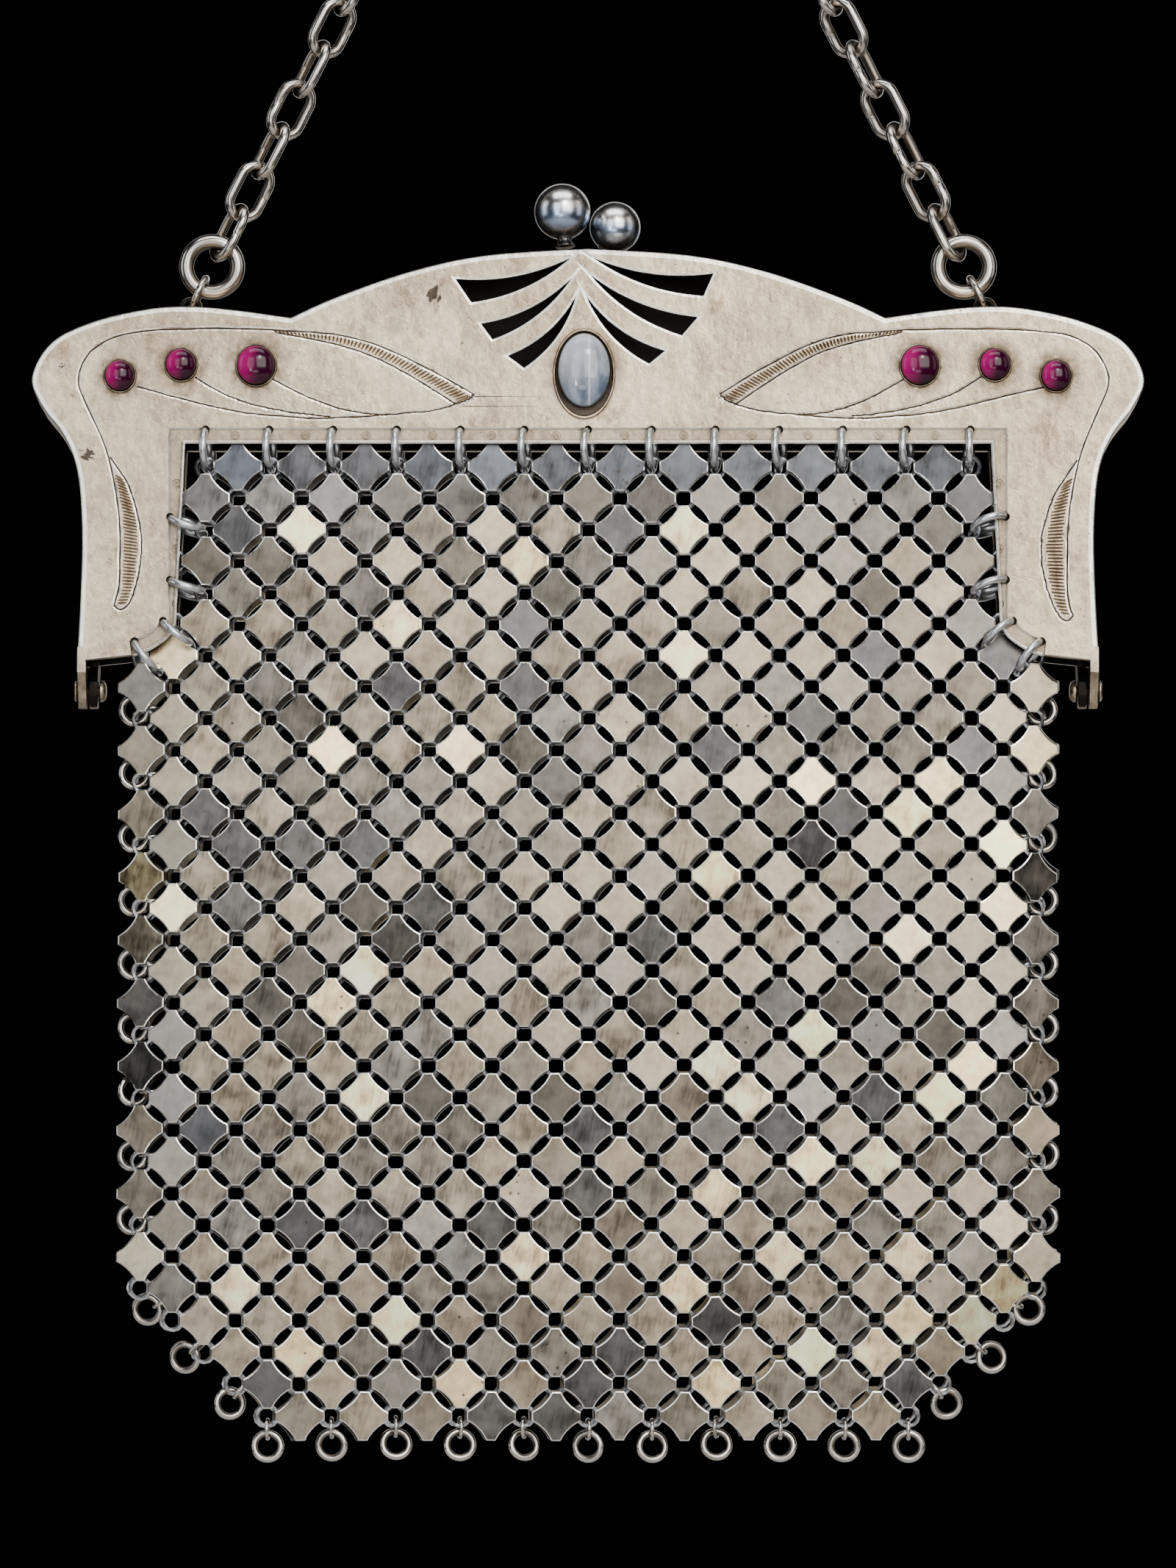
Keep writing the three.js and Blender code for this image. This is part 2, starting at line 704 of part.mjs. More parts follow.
// A round ring some way up the strand; square turns it across the plane of the frame.
function wireRing(outer, wire, direction, distance, square) {
  const { eye, along } = chainEnd(direction);
  const normal = new THREE.Vector3(0, 1, 0).cross(along).normalize();
  const facing = square ? normal : normal.clone().cross(along);
  const turn = new THREE.Quaternion().setFromUnitVectors(new THREE.Vector3(0, 0, 1), facing);
  const centre = eye.addScaledVector(along, distance);
  const ring = new THREE.TorusGeometry((outer - wire) / 2, wire / 2, wireSides, ringSides);
  return ring.applyQuaternion(turn).translate(centre.x, centre.y, centre.z);
}

// A staple on the back rim, leaning as the chain pulls, whose round end holds the jump ring
function chainEye(direction) {
  const { along } = chainEnd(direction);
  const lean = Math.atan2(along.x, along.z);
  const legs = -eyeRise - rimWall / 2;
  const centres = [{ place: new THREE.Vector3(eyeHalfSpan, legs, 0), out: new THREE.Vector3(1, 0, 0) }];
  for (let i = 0; i <= eyeSteps; i += 1) {
    const angle = (Math.PI * i) / eyeSteps;
    const out = new THREE.Vector3(Math.cos(angle), Math.sin(angle), 0);
    const bend = new THREE.Vector3(0, -eyeHalfSpan, 0);
    centres.push({ place: out.clone().multiplyScalar(eyeHalfSpan).add(bend), out });
  }
  centres.push({ place: new THREE.Vector3(-eyeHalfSpan, legs, 0), out: new THREE.Vector3(-1, 0, 0) });
  const eye = wireLoop(centres, eyeWire / 2, false);
  eye.rotateX(Math.PI / 2).rotateY(lean);
  return toSolid(eye.translate(direction * chainEyeAcross, chainPlane, eyeZ));
}

// Assembly

const stonePlaces = garnets.flatMap((row) => [
  { ...row, name: `${row.name}_left`, centre: framePoint({ across: -row.across, down: row.down }) },
  { ...row, name: `${row.name}_right`, centre: framePoint(row) },
]);
const moonstoneCentre = framePoint(moonstonePlace);

let front = frameHalf(-1);
for (const row of fanSlots) front = front.subtract(fanSlot(row));
for (const stone of stonePlaces) {
  front = front.add(collar(stone.centre, stone.diameter, stone.diameter, garnetSides));
}
front = front.add(collar(moonstoneCentre, moonstoneWidth, moonstoneHeight, moonstoneSides));
front = addHinge(front, -1).subtract(tenonHole(claspBalls[0]));
addPiece('front_frame', toGeometry(front), frameSilver);

let back = addHinge(frameHalf(1), 1).subtract(tenonHole(claspBalls[1]));
for (const direction of [-1, 1]) back = back.add(chainEye(direction));
addPiece('back_frame', toGeometry(back), frameSilver);

for (const stone of stonePlaces) {
  addStone(stone.name, stone.centre, stone.diameter, stone.diameter, garnetDome, garnetSides, garnetRed);
}
addStone(
  'moonstone', moonstoneCentre, moonstoneWidth, moonstoneHeight, moonstoneDome, moonstoneSides, moonWhite,
);

for (const row of claspBalls) addPiece(row.name, claspBall(row), ballSilver);

addPiece('mesh_front', toGeometry(meshPanel(-1)), meshSilver);
addPiece('mesh_back', toGeometry(meshPanel(1)), meshSilver);

addPiece('chain', toGeometry(chainSolid()), chainSilver);

for (const [label, direction] of [['left', -1], ['right', 1]]) {
  const big = wireRing(chainRingOuter, chainRingWire, direction, ringFromEye, false);
  const small = wireRing(jumpRingOuter, jumpRingWire, direction, hookInJump, true);
  addPiece(`hinge_pin_${label}`, hingePin(direction), chainSilver);
  addPiece(`chain_ring_${label}`, big, chainSilver);
  addPiece(`jump_ring_${label}`, small, chainSilver);
}

export default purse;
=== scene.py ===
import math
import random

import bpy
from mathutils import Matrix, Vector
from mathutils.kdtree import KDTree


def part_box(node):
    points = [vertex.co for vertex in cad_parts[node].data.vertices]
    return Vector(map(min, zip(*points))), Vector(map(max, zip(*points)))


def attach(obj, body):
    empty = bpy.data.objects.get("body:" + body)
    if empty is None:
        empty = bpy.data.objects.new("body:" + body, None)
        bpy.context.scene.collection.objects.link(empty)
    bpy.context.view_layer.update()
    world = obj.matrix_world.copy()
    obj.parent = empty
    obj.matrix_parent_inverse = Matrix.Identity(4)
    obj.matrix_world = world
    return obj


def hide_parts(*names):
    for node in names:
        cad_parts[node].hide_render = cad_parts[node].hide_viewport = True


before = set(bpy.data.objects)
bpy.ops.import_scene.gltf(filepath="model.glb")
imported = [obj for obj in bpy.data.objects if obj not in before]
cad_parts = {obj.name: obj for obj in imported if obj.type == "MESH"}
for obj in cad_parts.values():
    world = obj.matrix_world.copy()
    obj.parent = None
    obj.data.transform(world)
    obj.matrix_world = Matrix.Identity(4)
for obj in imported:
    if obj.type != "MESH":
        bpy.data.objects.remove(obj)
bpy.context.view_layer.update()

print("frame loaded")

# Lengths are in millimetres until finishPiece turns a mesh to metres.
toMetres = 0.001
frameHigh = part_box("front_frame")[1] / toMetres
frameTop = frameHigh.z
halfWidth = frameHigh.x
meshTop = (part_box("mesh_front")[1] / toMetres).z
dice = random.Random(7)


# Small helpers

def deselectAll():
    for other in list(bpy.context.selected_objects):
        other.select_set(False)


def makeActive(piece):
    deselectAll()
    piece.hide_set(False)
    piece.select_set(True)
    bpy.context.view_layer.objects.active = piece


def editAll(piece):
    makeActive(piece)
    bpy.ops.object.mode_set(mode="EDIT")
    bpy.ops.mesh.select_all(action="SELECT")


def leaveEdit():
    bpy.ops.object.mode_set(mode="OBJECT")


def mergeDoubles(piece, distance=0.002):
    editAll(piece)
    bpy.ops.mesh.remove_doubles(threshold=distance)
    bpy.ops.mesh.normals_make_consistent(inside=False)
    leaveEdit()


def joinAll(pieces, name):
    deselectAll()
    for piece in pieces:
        piece.select_set(True)
    bpy.context.view_layer.objects.active = pieces[0]
    if len(pieces) > 1:
        bpy.ops.object.join()
    joined = bpy.context.view_layer.objects.active
    joined.name = name
    return joined


def copyPiece(piece, matrix):
    copy = piece.copy()
    copy.data = piece.data.copy()
    copy.data.transform(matrix)
    bpy.context.collection.objects.link(copy)
    return copy


def removePiece(piece):
    bpy.data.meshes.remove(piece.data)


def combine(piece, other, operation):
    makeActive(piece)
    modifier = piece.modifiers.new("combine", "BOOLEAN")
    modifier.operation = operation
    modifier.solver = "MANIFOLD"
    modifier.object = other
    before = len(piece.data.vertices)
    bpy.ops.object.modifier_apply(modifier=modifier.name)
    if len(piece.data.vertices) in (0, before):
        print("combine left the mesh as it was:", piece.name, other.name, operation)
    removePiece(other)


def carve(piece, cutter):
    combine(piece, cutter, "DIFFERENCE")


def weld(piece, addition):
    combine(piece, addition, "UNION")


def smoothPiece(piece, degrees=30):
    makeActive(piece)
    bpy.ops.object.shade_smooth_by_angle(angle=math.radians(degrees))


def tidyMesh(piece):
    # The cuts leave long faces of many corners; all become plain triangles.
    editAll(piece)
    bpy.ops.mesh.quads_convert_to_tris(quad_method="BEAUTY", ngon_method="BEAUTY")
    leaveEdit()


def flattenPlanes(piece, planes, reach=0.015):
    # Cuts leave points a hair off a plane; they go back onto it and its faces are shaded flat.
    onPlane = {}
    for vertex in piece.data.vertices:
        for y in planes:
            if abs(vertex.co.y - y) < reach:
                vertex.co.y = y
                onPlane[vertex.index] = y
    for face in piece.data.polygons:
        levels = {onPlane.get(index) for index in face.vertices}
        if len(levels) == 1 and None not in levels:
            face.use_smooth = False


wearAndPaintedLight = {
    # painted shade in a stone's gap and on the ledge, painted highlight in an engraved line, and how near an
    # edge a slanting face lies to get its highlight
    "gap": 0.85, "ledge": 0.28, "cut": 0.8, "reach": 0.75,
    # how far a slanting face, and one of an engraved line, faces to the front, and where slants start
    "slant": (0.3, 0.985), "cutSlant": (0.8, 0.985), "slantFrom": 4.45,
}


def wornHighlightEdges(side):
    # Points along the rim, the opening, the ledge's step and the front's fans, about 1 mm apart; slanting
    # faces near them get a painted highlight
    half = round(plateShape["openingHalf"])
    edges = [(x * flip, z) for x, z in outerLine + innerLine + ledgeSide for flip in (-1, 1)]
    edges += [(x, ledgeCorner[1]) for x in range(-half - 3, half + 4)]
    edges += [(x, openingTop) for x in range(-half - 1, half + 2)]
    edges += [(flip * x, openingTop - drop) for x in (plateShape["openingHalf"], ledgeCorner[0])
              for drop in range(26) for flip in (-1, 1)]
    if side < 0:
        edges += [point for line in fanLines for point in line]
    tree = KDTree(len(edges))
    for index, (x, z) in enumerate(edges):
        tree.insert((x, 0, z), index)
    tree.balance()
    return tree


def inShadedStoneGap(centre):
    return any(abs(centre.x - x) < a and ((centre.x - x) / a) ** 2 + ((centre.z - z) / b) ** 2 < 1
               for x, z, a, b in shadedStoneGaps)


def markFaces(piece, side):
    # inside: painted shade, 1 on faces that look into the closed purse, less in the gap around a stone and on
    # the ledge.
    # The second value is polish from rubbing with a painted highlight: 1 on slanting faces along the rim, the
    # opening and the fans, less in the engraved lines.
    tree = wornHighlightEdges(side)
    inside, wornHighlight = [], []
    for face in piece.data.polygons:
        centre, normal = face.center, face.normal
        depth, facing = abs(centre.y), abs(normal.y)
        inward = normal.y * side < -0.4 and depth < plateShape["back"] + 0.02
        walled = depth < plateShape["back"] - 0.05 and piece.ray_cast(centre + normal * 0.02, normal)[0]
        gap = side < 0 and inShadedStoneGap(centre)
        ledge = abs(depth - plateShape["ledgeFace"]) < 0.01
        inside.append(1.0 if inward or walled else wearAndPaintedLight["gap"] if gap else wearAndPaintedLight["ledge"] if ledge else 0.0)
        slanting = wearAndPaintedLight["slant"][0] < facing < wearAndPaintedLight["slant"][1] and depth > wearAndPaintedLight["slantFrom"]
        rubbedAndLit = slanting and tree.find((centre.x, 0, centre.z))[2] < wearAndPaintedLight["reach"]
        cut = (side < 0 and wearAndPaintedLight["cutSlant"][0] < facing < wearAndPaintedLight["cutSlant"][1]
               and plateShape["ledgeFace"] < depth < plateShape["front"])
        wornHighlight.append(1.0 if rubbedAndLit else wearAndPaintedLight["cut"] if cut else 0.0)
    for name, values in (("inside", inside), ("wornHighlight", wornHighlight)):
        piece.data.attributes.new(name, "FLOAT", "FACE").data.foreach_set("value", values)


def finishPiece(piece, name, material, slot, *nodes):
    piece.name = name
    piece.data.name = name
    piece.data.transform(Matrix.Scale(toMetres, 4))
    piece.data.materials.clear()
    piece.data.materials.append(material)
    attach(piece, "root")
    if nodes:
        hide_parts(*nodes)
    print("made", name, len(piece.data.polygons), "faces")


# Flat shapes in the X-Z plane

def splinePoints(rows, steps):
    # Catmull-Rom through the rows, as many steps as asked
    def between(a, b, c, d, t):
        slopeB, slopeC = (c - a) / 2, (d - b) / 2
        return ((2 * b - 2 * c + slopeB + slopeC) * t ** 3
                + (-3 * b + 3 * c - 2 * slopeB - slopeC) * t ** 2 + slopeB * t + b)
    last = len(rows) - 1
    points = []
    for step in range(steps + 1):
        place = last * step / steps
        index = min(int(place), last - 1)
        near = [rows[max(index - 1, 0)], rows[index], rows[index + 1], rows[min(index + 2, last)]]
        points.append(tuple(between(*(row[axis] for row in near), place - index) for axis in (0, 1)))
    return points


def mirrored(points):
    return [(-x, z) for x, z in reversed(points)]


def offsetLine(points, distance):
    moved = []
    for i, (x, z) in enumerate(points):
        before, after = points[max(i - 1, 0)], points[min(i + 1, len(points) - 1)]
        along = Vector((after[0] - before[0], after[1] - before[1])).normalized()
        moved.append((x + along.y * distance, z - along.x * distance))
    return moved


def upright(piece, yMiddle):
    # A flat curve lies in X-Y; this stands it up in X-Z with its front to -Y.
    piece.data.transform(Matrix.Translation((0, yMiddle, 0)) @ Matrix.Rotation(math.pi / 2, 4, "X"))


def flatCurve(name, lines, closed, fill):
    curve = bpy.data.curves.new(name, "CURVE")
    curve.dimensions = "2D"
    curve.fill_mode = "BOTH" if fill else "NONE"
    for line in lines:
        spline = curve.splines.new("POLY")
        spline.points.add(len(line) - 1)
        for point, place in zip(spline.points, line):
            point.co = (place[0], place[1], 0, 1)
            point.radius = place[2] if len(place) > 2 else 1
        spline.use_cyclic_u = closed
    piece = bpy.data.objects.new(name, curve)
    bpy.context.collection.objects.link(piece)
    return piece


def curveToMesh(piece):
    makeActive(piece)
    bpy.ops.object.convert(target="MESH")
    return bpy.context.view_layer.objects.active


def slab(lines, yFrom, yTo, bevel=0.0):
    piece = flatCurve("slab", lines, True, True)
    piece.data.extrude = (yTo - yFrom) / 2 - bevel
    piece.data.bevel_depth = bevel
    piece.data.bevel_resolution = 2
    piece.data.offset = -bevel
    piece = curveToMesh(piece)
    upright(piece, (yFrom + yTo) / 2)
    mergeDoubles(piece)
    return piece


def groove(line, depth, yFace, closed=False, steepness=1.0):
    # A cutter of diamond section along a line; at steepness 1 it bites as deep as half its width.
    piece = flatCurve("groove", [line], closed, False)
    piece.data.bevel_depth = depth
    piece.data.bevel_resolution = 0
    piece.data.use_fill_caps = not closed
    piece = curveToMesh(piece)
    piece.data.transform(Matrix.Diagonal((1, 1, steepness, 1)))
    upright(piece, yFace)
    mergeDoubles(piece)
    return piece


def turned(profile, sides, ring=False):
    # A shape of revolution about Z: a circle extruded and resized from one profile point to the next.
    # A ring's profile ends where it starts; any other starts on a flat end.
    radius, height = profile[0]
    bpy.ops.mesh.primitive_circle_add(
        vertices=sides, radius=radius, fill_type="NOTHING" if ring else "NGON", location=(0, 0, height))
    piece = bpy.context.view_layer.objects.active
    makeActive(piece)
    bpy.ops.object.transform_apply(location=True)
    editAll(piece)
    for nextRadius, nextHeight in profile[1:]:
        bpy.ops.mesh.extrude_region_move(TRANSFORM_OT_translate={"value": (0, 0, nextHeight - height)})
        if nextRadius == 0:
            bpy.ops.mesh.merge(type="CENTER")
            break
        share = nextRadius / radius
        bpy.ops.transform.resize(value=(share, share, 1), center_override=(0, 0, nextHeight))
        radius, height = nextRadius, nextHeight
    leaveEdit()
    mergeDoubles(piece, 0.0005)
    return piece


def wireRing(outer, wire, around, about):
    # Outer and wire are diameters; about is the number of sides of the wire.
    bpy.ops.mesh.primitive_torus_add(
        major_segments=around, minor_segments=about, major_radius=(outer - wire) / 2, minor_radius=wire / 2)
    return bpy.context.view_layer.objects.active


def softRing(outer, wire, around, about):
    # A ring whose points note how far they look towards the ring's middle, from -1 to 1
    ring = wireRing(outer, wire, around, about)
    smoothPiece(ring, 70)
    mean = (outer - wire) / 2
    values = [(mean - math.hypot(v.co.x, v.co.y)) / (wire / 2) for v in ring.data.vertices]
    ring.data.attributes.new("innerSide", "FLOAT", "POINT").data.foreach_set("value", values)
    return ring


def basis(xAxis, yAxis, zAxis, place):
    matrix = Matrix((xAxis, yAxis, zAxis)).transposed().to_4x4()
    matrix.translation = place
    return matrix


# Materials

class Wire:
    # Wraps a socket, so that sums and products of it read as plain Python.
    def __init__(self, tree, socket):
        self.tree, self.socket = tree, socket

    def node(self, kind, settings, sockets, output=0):
        made = self.tree.nodes.new(kind)
        for name, value in settings.items():
            setattr(made, name, value)
        for name, value in sockets.items():
            if isinstance(value, Wire):
                self.tree.links.new(value.socket, made.inputs[name])
            else:
                made.inputs[name].default_value = value
        return Wire(self.tree, made.outputs[output])

    def math(self, operation, first, second=0.0):
        return self.node("ShaderNodeMath", {"operation": operation}, {0: first, 1: second})

    def __add__(self, other):
        return self.math("ADD", self, other)

    def __sub__(self, other):
        return self.math("SUBTRACT", self, other)

    def __rsub__(self, other):
        return self.math("SUBTRACT", other, self)

    def __mul__(self, other):
        return self.math("MULTIPLY", self, other)

    __radd__ = __add__
    __rmul__ = __mul__

    def between(self, low, high):
        # 0 below low, 1 above high, smooth between them
        return self.node("ShaderNodeMapRange", {"interpolation_type": "SMOOTHSTEP"},
                         {"Value": self, "From Min": low, "From Max": high})

    def larger(self, other):
        return self.math("MAXIMUM", self, other)

    def colours(self, low, high):
        # The colour low where this is 0 and high where it is 1
        sockets = {0: self, 6: low if isinstance(low, Wire) else (*low, 1),
                   7: high if isinstance(high, Wire) else (*high, 1)}
        return self.node("ShaderNodeMix", {"data_type": "RGBA", "clamp_factor": True}, sockets, 2)


def newMaterial(name, **fixed):
    material = bpy.data.materials.new(name)
    material.use_nodes = True
    tree = material.node_tree
    shader = tree.nodes["Principled BSDF"]
    for socket, value in fixed.items():
        shader.inputs[socket.replace("_", " ")].default_value = value
    coordinates = tree.nodes.new("ShaderNodeTexCoord")
    return material, shader, Wire(tree, coordinates.outputs["Object"])


def link(wire, shader, socket):
    wire.tree.links.new(wire.socket, shader.inputs[socket])


def noise(place, size, detail=2.0, stretch=(1, 1, 1), turn=(0, 0, 0), rough=0.5):
    # Cloudy noise; size is the width of a cloud in millimetres, stretched and then turned.
    mapped = place.node("ShaderNodeMapping", {"vector_type": "TEXTURE"},
                        {"Vector": place, "Scale": tuple(size * toMetres * share for share in stretch),
                         "Rotation": tuple(map(math.radians, turn))})
    return place.node("ShaderNodeTexNoise", {}, {"Vector": mapped, "Scale": 1.0, "Detail": detail,
                                                 "Roughness": rough})


def cells(place, size):
    # Distance to the nearest of scattered points, which lie about size apart
    mapped = place.node("ShaderNodeMapping", {}, {"Vector": place, "Scale": (1 / (size * toMetres),) * 3})
    return place.node("ShaderNodeTexVoronoi", {}, {"Vector": mapped, "Scale": 1.0})


def bump(shader, height, distance, strength):
    normal = height.node("ShaderNodeBump", {}, {"Height": height, "Distance": distance * toMetres,
                                                "Strength": strength})
    link(normal, shader, "Normal")


def attribute(place, name):
    return place.node("ShaderNodeAttribute", {"attribute_name": name}, {}, 2)


def hidden(place, reach):
    # 1 in grooves and corners, 0 on open faces
    return 1 - place.node("ShaderNodeAmbientOcclusion", {"samples": 8}, {"Distance": reach * toMetres}, 1)


# Finishes

silver = {
    "plate": (0.76, 0.645, 0.48), "plateDeep": (0.34, 0.265, 0.185), "tarnish": (0.085, 0.055, 0.034),
    # inside is the near-black of painted shade in the closed purse, in the gaps around the stones and on the
    # ledge
    "stain": (0.21, 0.145, 0.09), "pit": (0.025, 0.02, 0.017), "inside": (0.022, 0.017, 0.014),
    # the near-white of polish and painted highlight on slanting edge faces
    "wornHighlight": (1.0, 0.95, 0.86),
    # how strongly each shows
    "stainShare": 0.6, "wornHighlightShare": 0.95, "speckShare": 0.8, "footShare": 0.25, "pitShare": 0.9,
    "haloWidth": 2.4, "roughness": 0.31, "relief": 0.025,
    # place, radius and stretch of the dark pits
    "pits": [((-21.0, -5, frameTop - 6.1), 1.5, 2.5), ((-71.6, -5, frameTop - 16.2), 0.6, 1),
             ((-68.0, -5, frameTop - 28.1), 1.4, 0.6), ((-17.2, -5, frameTop - 12.9), 0.35, 1),
             ((30.6, -5, frameTop - 12.9), 0.4, 1)],
}


def distanceFrom(place, centre):
    return place.node("ShaderNodeVectorMath", {"operation": "DISTANCE"},
                      {0: place, 1: tuple(c * toMetres for c in centre)}, 1)


def frameFinish(stones):
    # Cloudy silver with brown smudges, dark corners, a brown halo around each stone and fine scratches; edges
    # carry a painted highlight, and the inside of the purse, the gaps around the stones and the ledge carry
    # painted shade
    material, shader, place = newMaterial("frameSilver", Metallic=1.0)
    cloud = noise(place, 9, 6, rough=0.65).between(0.38, 0.62)
    fine = noise(place, 0.3, 3)
    grain = noise(place, 0.9, 5, rough=0.75).between(0.36, 0.64)
    mist = noise(place, 22, 3).between(0.35, 0.65)
    colour = (cloud * 0.3 + grain * 0.35 + mist * 0.35).colours(silver["plateDeep"], silver["plate"])
    smudge = noise(place, 4.5, 5, (1, 1, 1.6), (0, 30, 0), 0.7)
    colour = (smudge.between(0.54, 0.7) * silver["stainShare"]).colours(colour, silver["stain"])
    speck = cells(place, 1.1).between(0.11, 0.05) * noise(place, 4).between(0.5, 0.6)
    corner = hidden(place, 0.8).between(0.08, 0.65)
    halo = speck * 0
    for centre, radius in stones:
        away = distanceFrom(place, centre)
        outer = radius * 1.2 + silver["haloWidth"]
        halo = halo.larger(1 - away.between(radius * 0.98 * toMetres, outer * toMetres))
    stain = noise(place, 1.6, 4, rough=0.7).between(0.3, 0.62)
    # Painted highlight: slanting faces along the edges and in the engraved lines turn almost white, partly
    # polish from rubbing.
    colour = (attribute(place, "wornHighlight") * silver["wornHighlightShare"]).colours(colour, silver["wornHighlight"])
    dark = corner.larger(speck * silver["speckShare"]).larger(halo * (0.3 + stain * 0.65))
    colour = dark.colours(colour, silver["tarnish"])
    height = place.node("ShaderNodeSeparateXYZ", {}, {"Vector": place}, 2)
    low = 1 - height.between((footBottom - 0.6) * toMetres, (footBottom + 0.4) * toMetres)
    colour = (low * stain * silver["footShare"]).colours(colour, silver["tarnish"])
    for centre, radius, stretch in silver["pits"]:
        away = distanceFrom(place, centre)
        wander = noise(place, radius * 0.5, 3, (1, 1, stretch), (0, 25, 0)) - 0.5
        ragged = away + wander * (3.2 * radius * toMetres)
        pit = 1 - ragged.between(radius * 0.4 * toMetres, radius * 0.55 * toMetres)
        colour = (pit * silver["pitShare"]).colours(colour, silver["pit"])
    # Painted shade: faces inside the closed purse, the gaps around the stones and the ledge go near black.
    inside = attribute(place, "inside")
    colour = inside.colours(colour, silver["inside"])
    link(colour, shader, "Base Color")
    scratch = noise(place, 0.18, 2, (16, 16, 1), (0, 24, 0)).between(0.6, 0.72)
    scratch = scratch.larger(noise(place, 0.18, 2, (1, 16, 20), (0, -31, 0)).between(0.62, 0.72))
    rough = silver["roughness"] + cloud * 0.09 + (fine - 0.5) * 0.2
    rough = rough + dark * 0.2 - scratch * 0.12 + inside * 0.2
    link(rough, shader, "Roughness")
    relief = fine * 0.6 + noise(place, 2.6, 3, (1, 1, 1.5)) * 7 - scratch * 0.5 - speck * 0.8
    bump(shader, relief, silver["relief"], 1.0)
    return material


# Clasp frame

plateShape = {
    # depths from the middle plane
    "front": 5.0, "back": 4.0, "middle": 0.15, "ledgeFace": 4.65, "lipSunk": 0.03,
    "rimWall": 1.0, "edgeRound": 0.3, "polish": 0.2, "height": 56.5, "openingHalf": 55.0, "openingDrop": 26.6,
    "ledge": 1.8, "step": 0.27, "lip": 0.27, "hole": 1.1, "holePitch": 8.67, "holesAcross": 13,
}
# The outline from the top's middle to the foot: across of the half width, down of the frame's height
archEdge = [(0, 0), (0.181, 0.016), (0.316, 0.054), (0.451, 0.117), (0.535, 0.168)]
shoulderEdge = [(0.535, 0.168), (0.626, 0.151), (0.708, 0.141), (0.788, 0.146), (0.889, 0.177),
                (0.965, 0.228), (1, 0.312), (0.982, 0.382), (0.943, 0.453), (0.918, 0.54),
                (0.909, 0.68), (0.911, 0.84), (0.917, 1)]
footEdge = [(0.815, 0.985), (0.787, 0.971), (0.756, 0.942), (0.741, 0.91)]
footBottom = frameTop - plateShape["height"]
openingTop = frameTop - plateShape["openingDrop"]


def framePoint(row):
    return row[0] * halfWidth, frameTop - row[1] * plateShape["height"]


outerLine = [framePoint(row) for row in splinePoints(archEdge, 40) + splinePoints(shoulderEdge, 150)[1:]]
footLine = [framePoint(row) for row in splinePoints(footEdge, 12)]
innerLine = footLine + [(plateShape["openingHalf"], openingTop)]
ledgeCorner = (plateShape["openingHalf"] + plateShape["ledge"], openingTop + plateShape["ledge"])
ledgeSide = offsetLine(innerLine[::-1], -plateShape["ledge"])[1:]
ledgeSide[0] = (plateShape["openingHalf"] + plateShape["ledge"], ledgeSide[0][1])


def bothSides(right):
    return right + mirrored(right[1:] if right[0][0] == 0 else right)


def alongLine(line, share):
    lengths = [0]
    for a, b in zip(line, line[1:]):
        lengths.append(lengths[-1] + math.dist(a, b))
    goal = share * lengths[-1]
    for a, b, start, end in zip(line, line[1:], lengths, lengths[1:]):
        if end >= goal:
            t = (goal - start) / (end - start)
            return a[0] + (b[0] - a[0]) * t, a[1] + (b[1] - a[1]) * t


middleHole = plateShape["holesAcross"] // 2
holeRow = [((i - middleHole) * plateShape["holePitch"], ledgeCorner[1])
           for i in range(plateShape["holesAcross"])]
sideHoles = [alongLine([ledgeCorner] + ledgeSide, share) for share in (0.36, 0.62, 0.83, 0.98)]
sewingHoles = holeRow + sideHoles + mirrored(sideHoles)
sideJunctions = [(12, 2), (12, 4), (12, 6), (13, 7)]  # column and row where each side hole's ring ends


def depthSpan(side, near, far):
    return (-far, -near) if side < 0 else (near, far)


def punchHoles(side):
    holes = []
    for x, z in sewingHoles:
        bpy.ops.mesh.primitive_cylinder_add(
            vertices=20, radius=plateShape["hole"] / 2, depth=3,
            location=(x, side * plateShape["back"], z), rotation=(math.pi / 2, 0, 0))
        bpy.ops.object.transform_apply(location=True, rotation=True)
        holes.append(bpy.context.view_layer.objects.active)
    return joinAll(holes, "holes")


def frameHalf(side):
    # A slab, hollowed from the back and lowered to the ledge around the opening
    shape = plateShape
    outline = bothSides(outerLine + innerLine)
    half = slab([outline], *depthSpan(side, shape["middle"], shape["front"]), shape["edgeRound"])
    inside = offsetLine(outerLine, shape["rimWall"])
    inside[0] = (0, inside[0][1])
    cavity = inside + [(inside[-1][0], footBottom - 5)]
    carve(half, slab([bothSides(cavity)], *depthSpan(side, -5, shape["back"])))
    region = [(0, ledgeCorner[1]), ledgeCorner] + ledgeSide
    region += [(footLine[0][0], footLine[0][1] - 3), (shape["openingHalf"], footBottom - 3)]
    carve(half, slab([bothSides(region)], *depthSpan(side, shape["ledgeFace"], 8)))
    weld(half, openingLip(side))
    step = ledgeSide[::-1] + [ledgeCorner]
    carve(half, groove(step + mirrored(step), shape["step"], side * shape["front"]))
    carve(half, punchHoles(side))
    rim = offsetLine(outerLine, shape["edgeRound"] + shape["polish"])
    rim[0] = (0, rim[0][1])
    carve(half, groove(bothSides(rim), shape["polish"], side * shape["front"], steepness=fans["steepness"]))
    return half


def openingLip(side):
    # The edge of the opening is burnished to a low rounded lip.
    line = offsetLine(innerLine + mirrored(innerLine), plateShape["lip"] / 2)
    lip = flatCurve("lip", [line], False, False)
    lip.data.bevel_depth = plateShape["lip"]
    lip.data.bevel_resolution = 2
    lip.data.use_fill_caps = True
    lip = curveToMesh(lip)
    upright(lip, side * (plateShape["ledgeFace"] - plateShape["lipSunk"]))
    mergeDoubles(lip)
    return lip


# Ears and rivets of the hinge

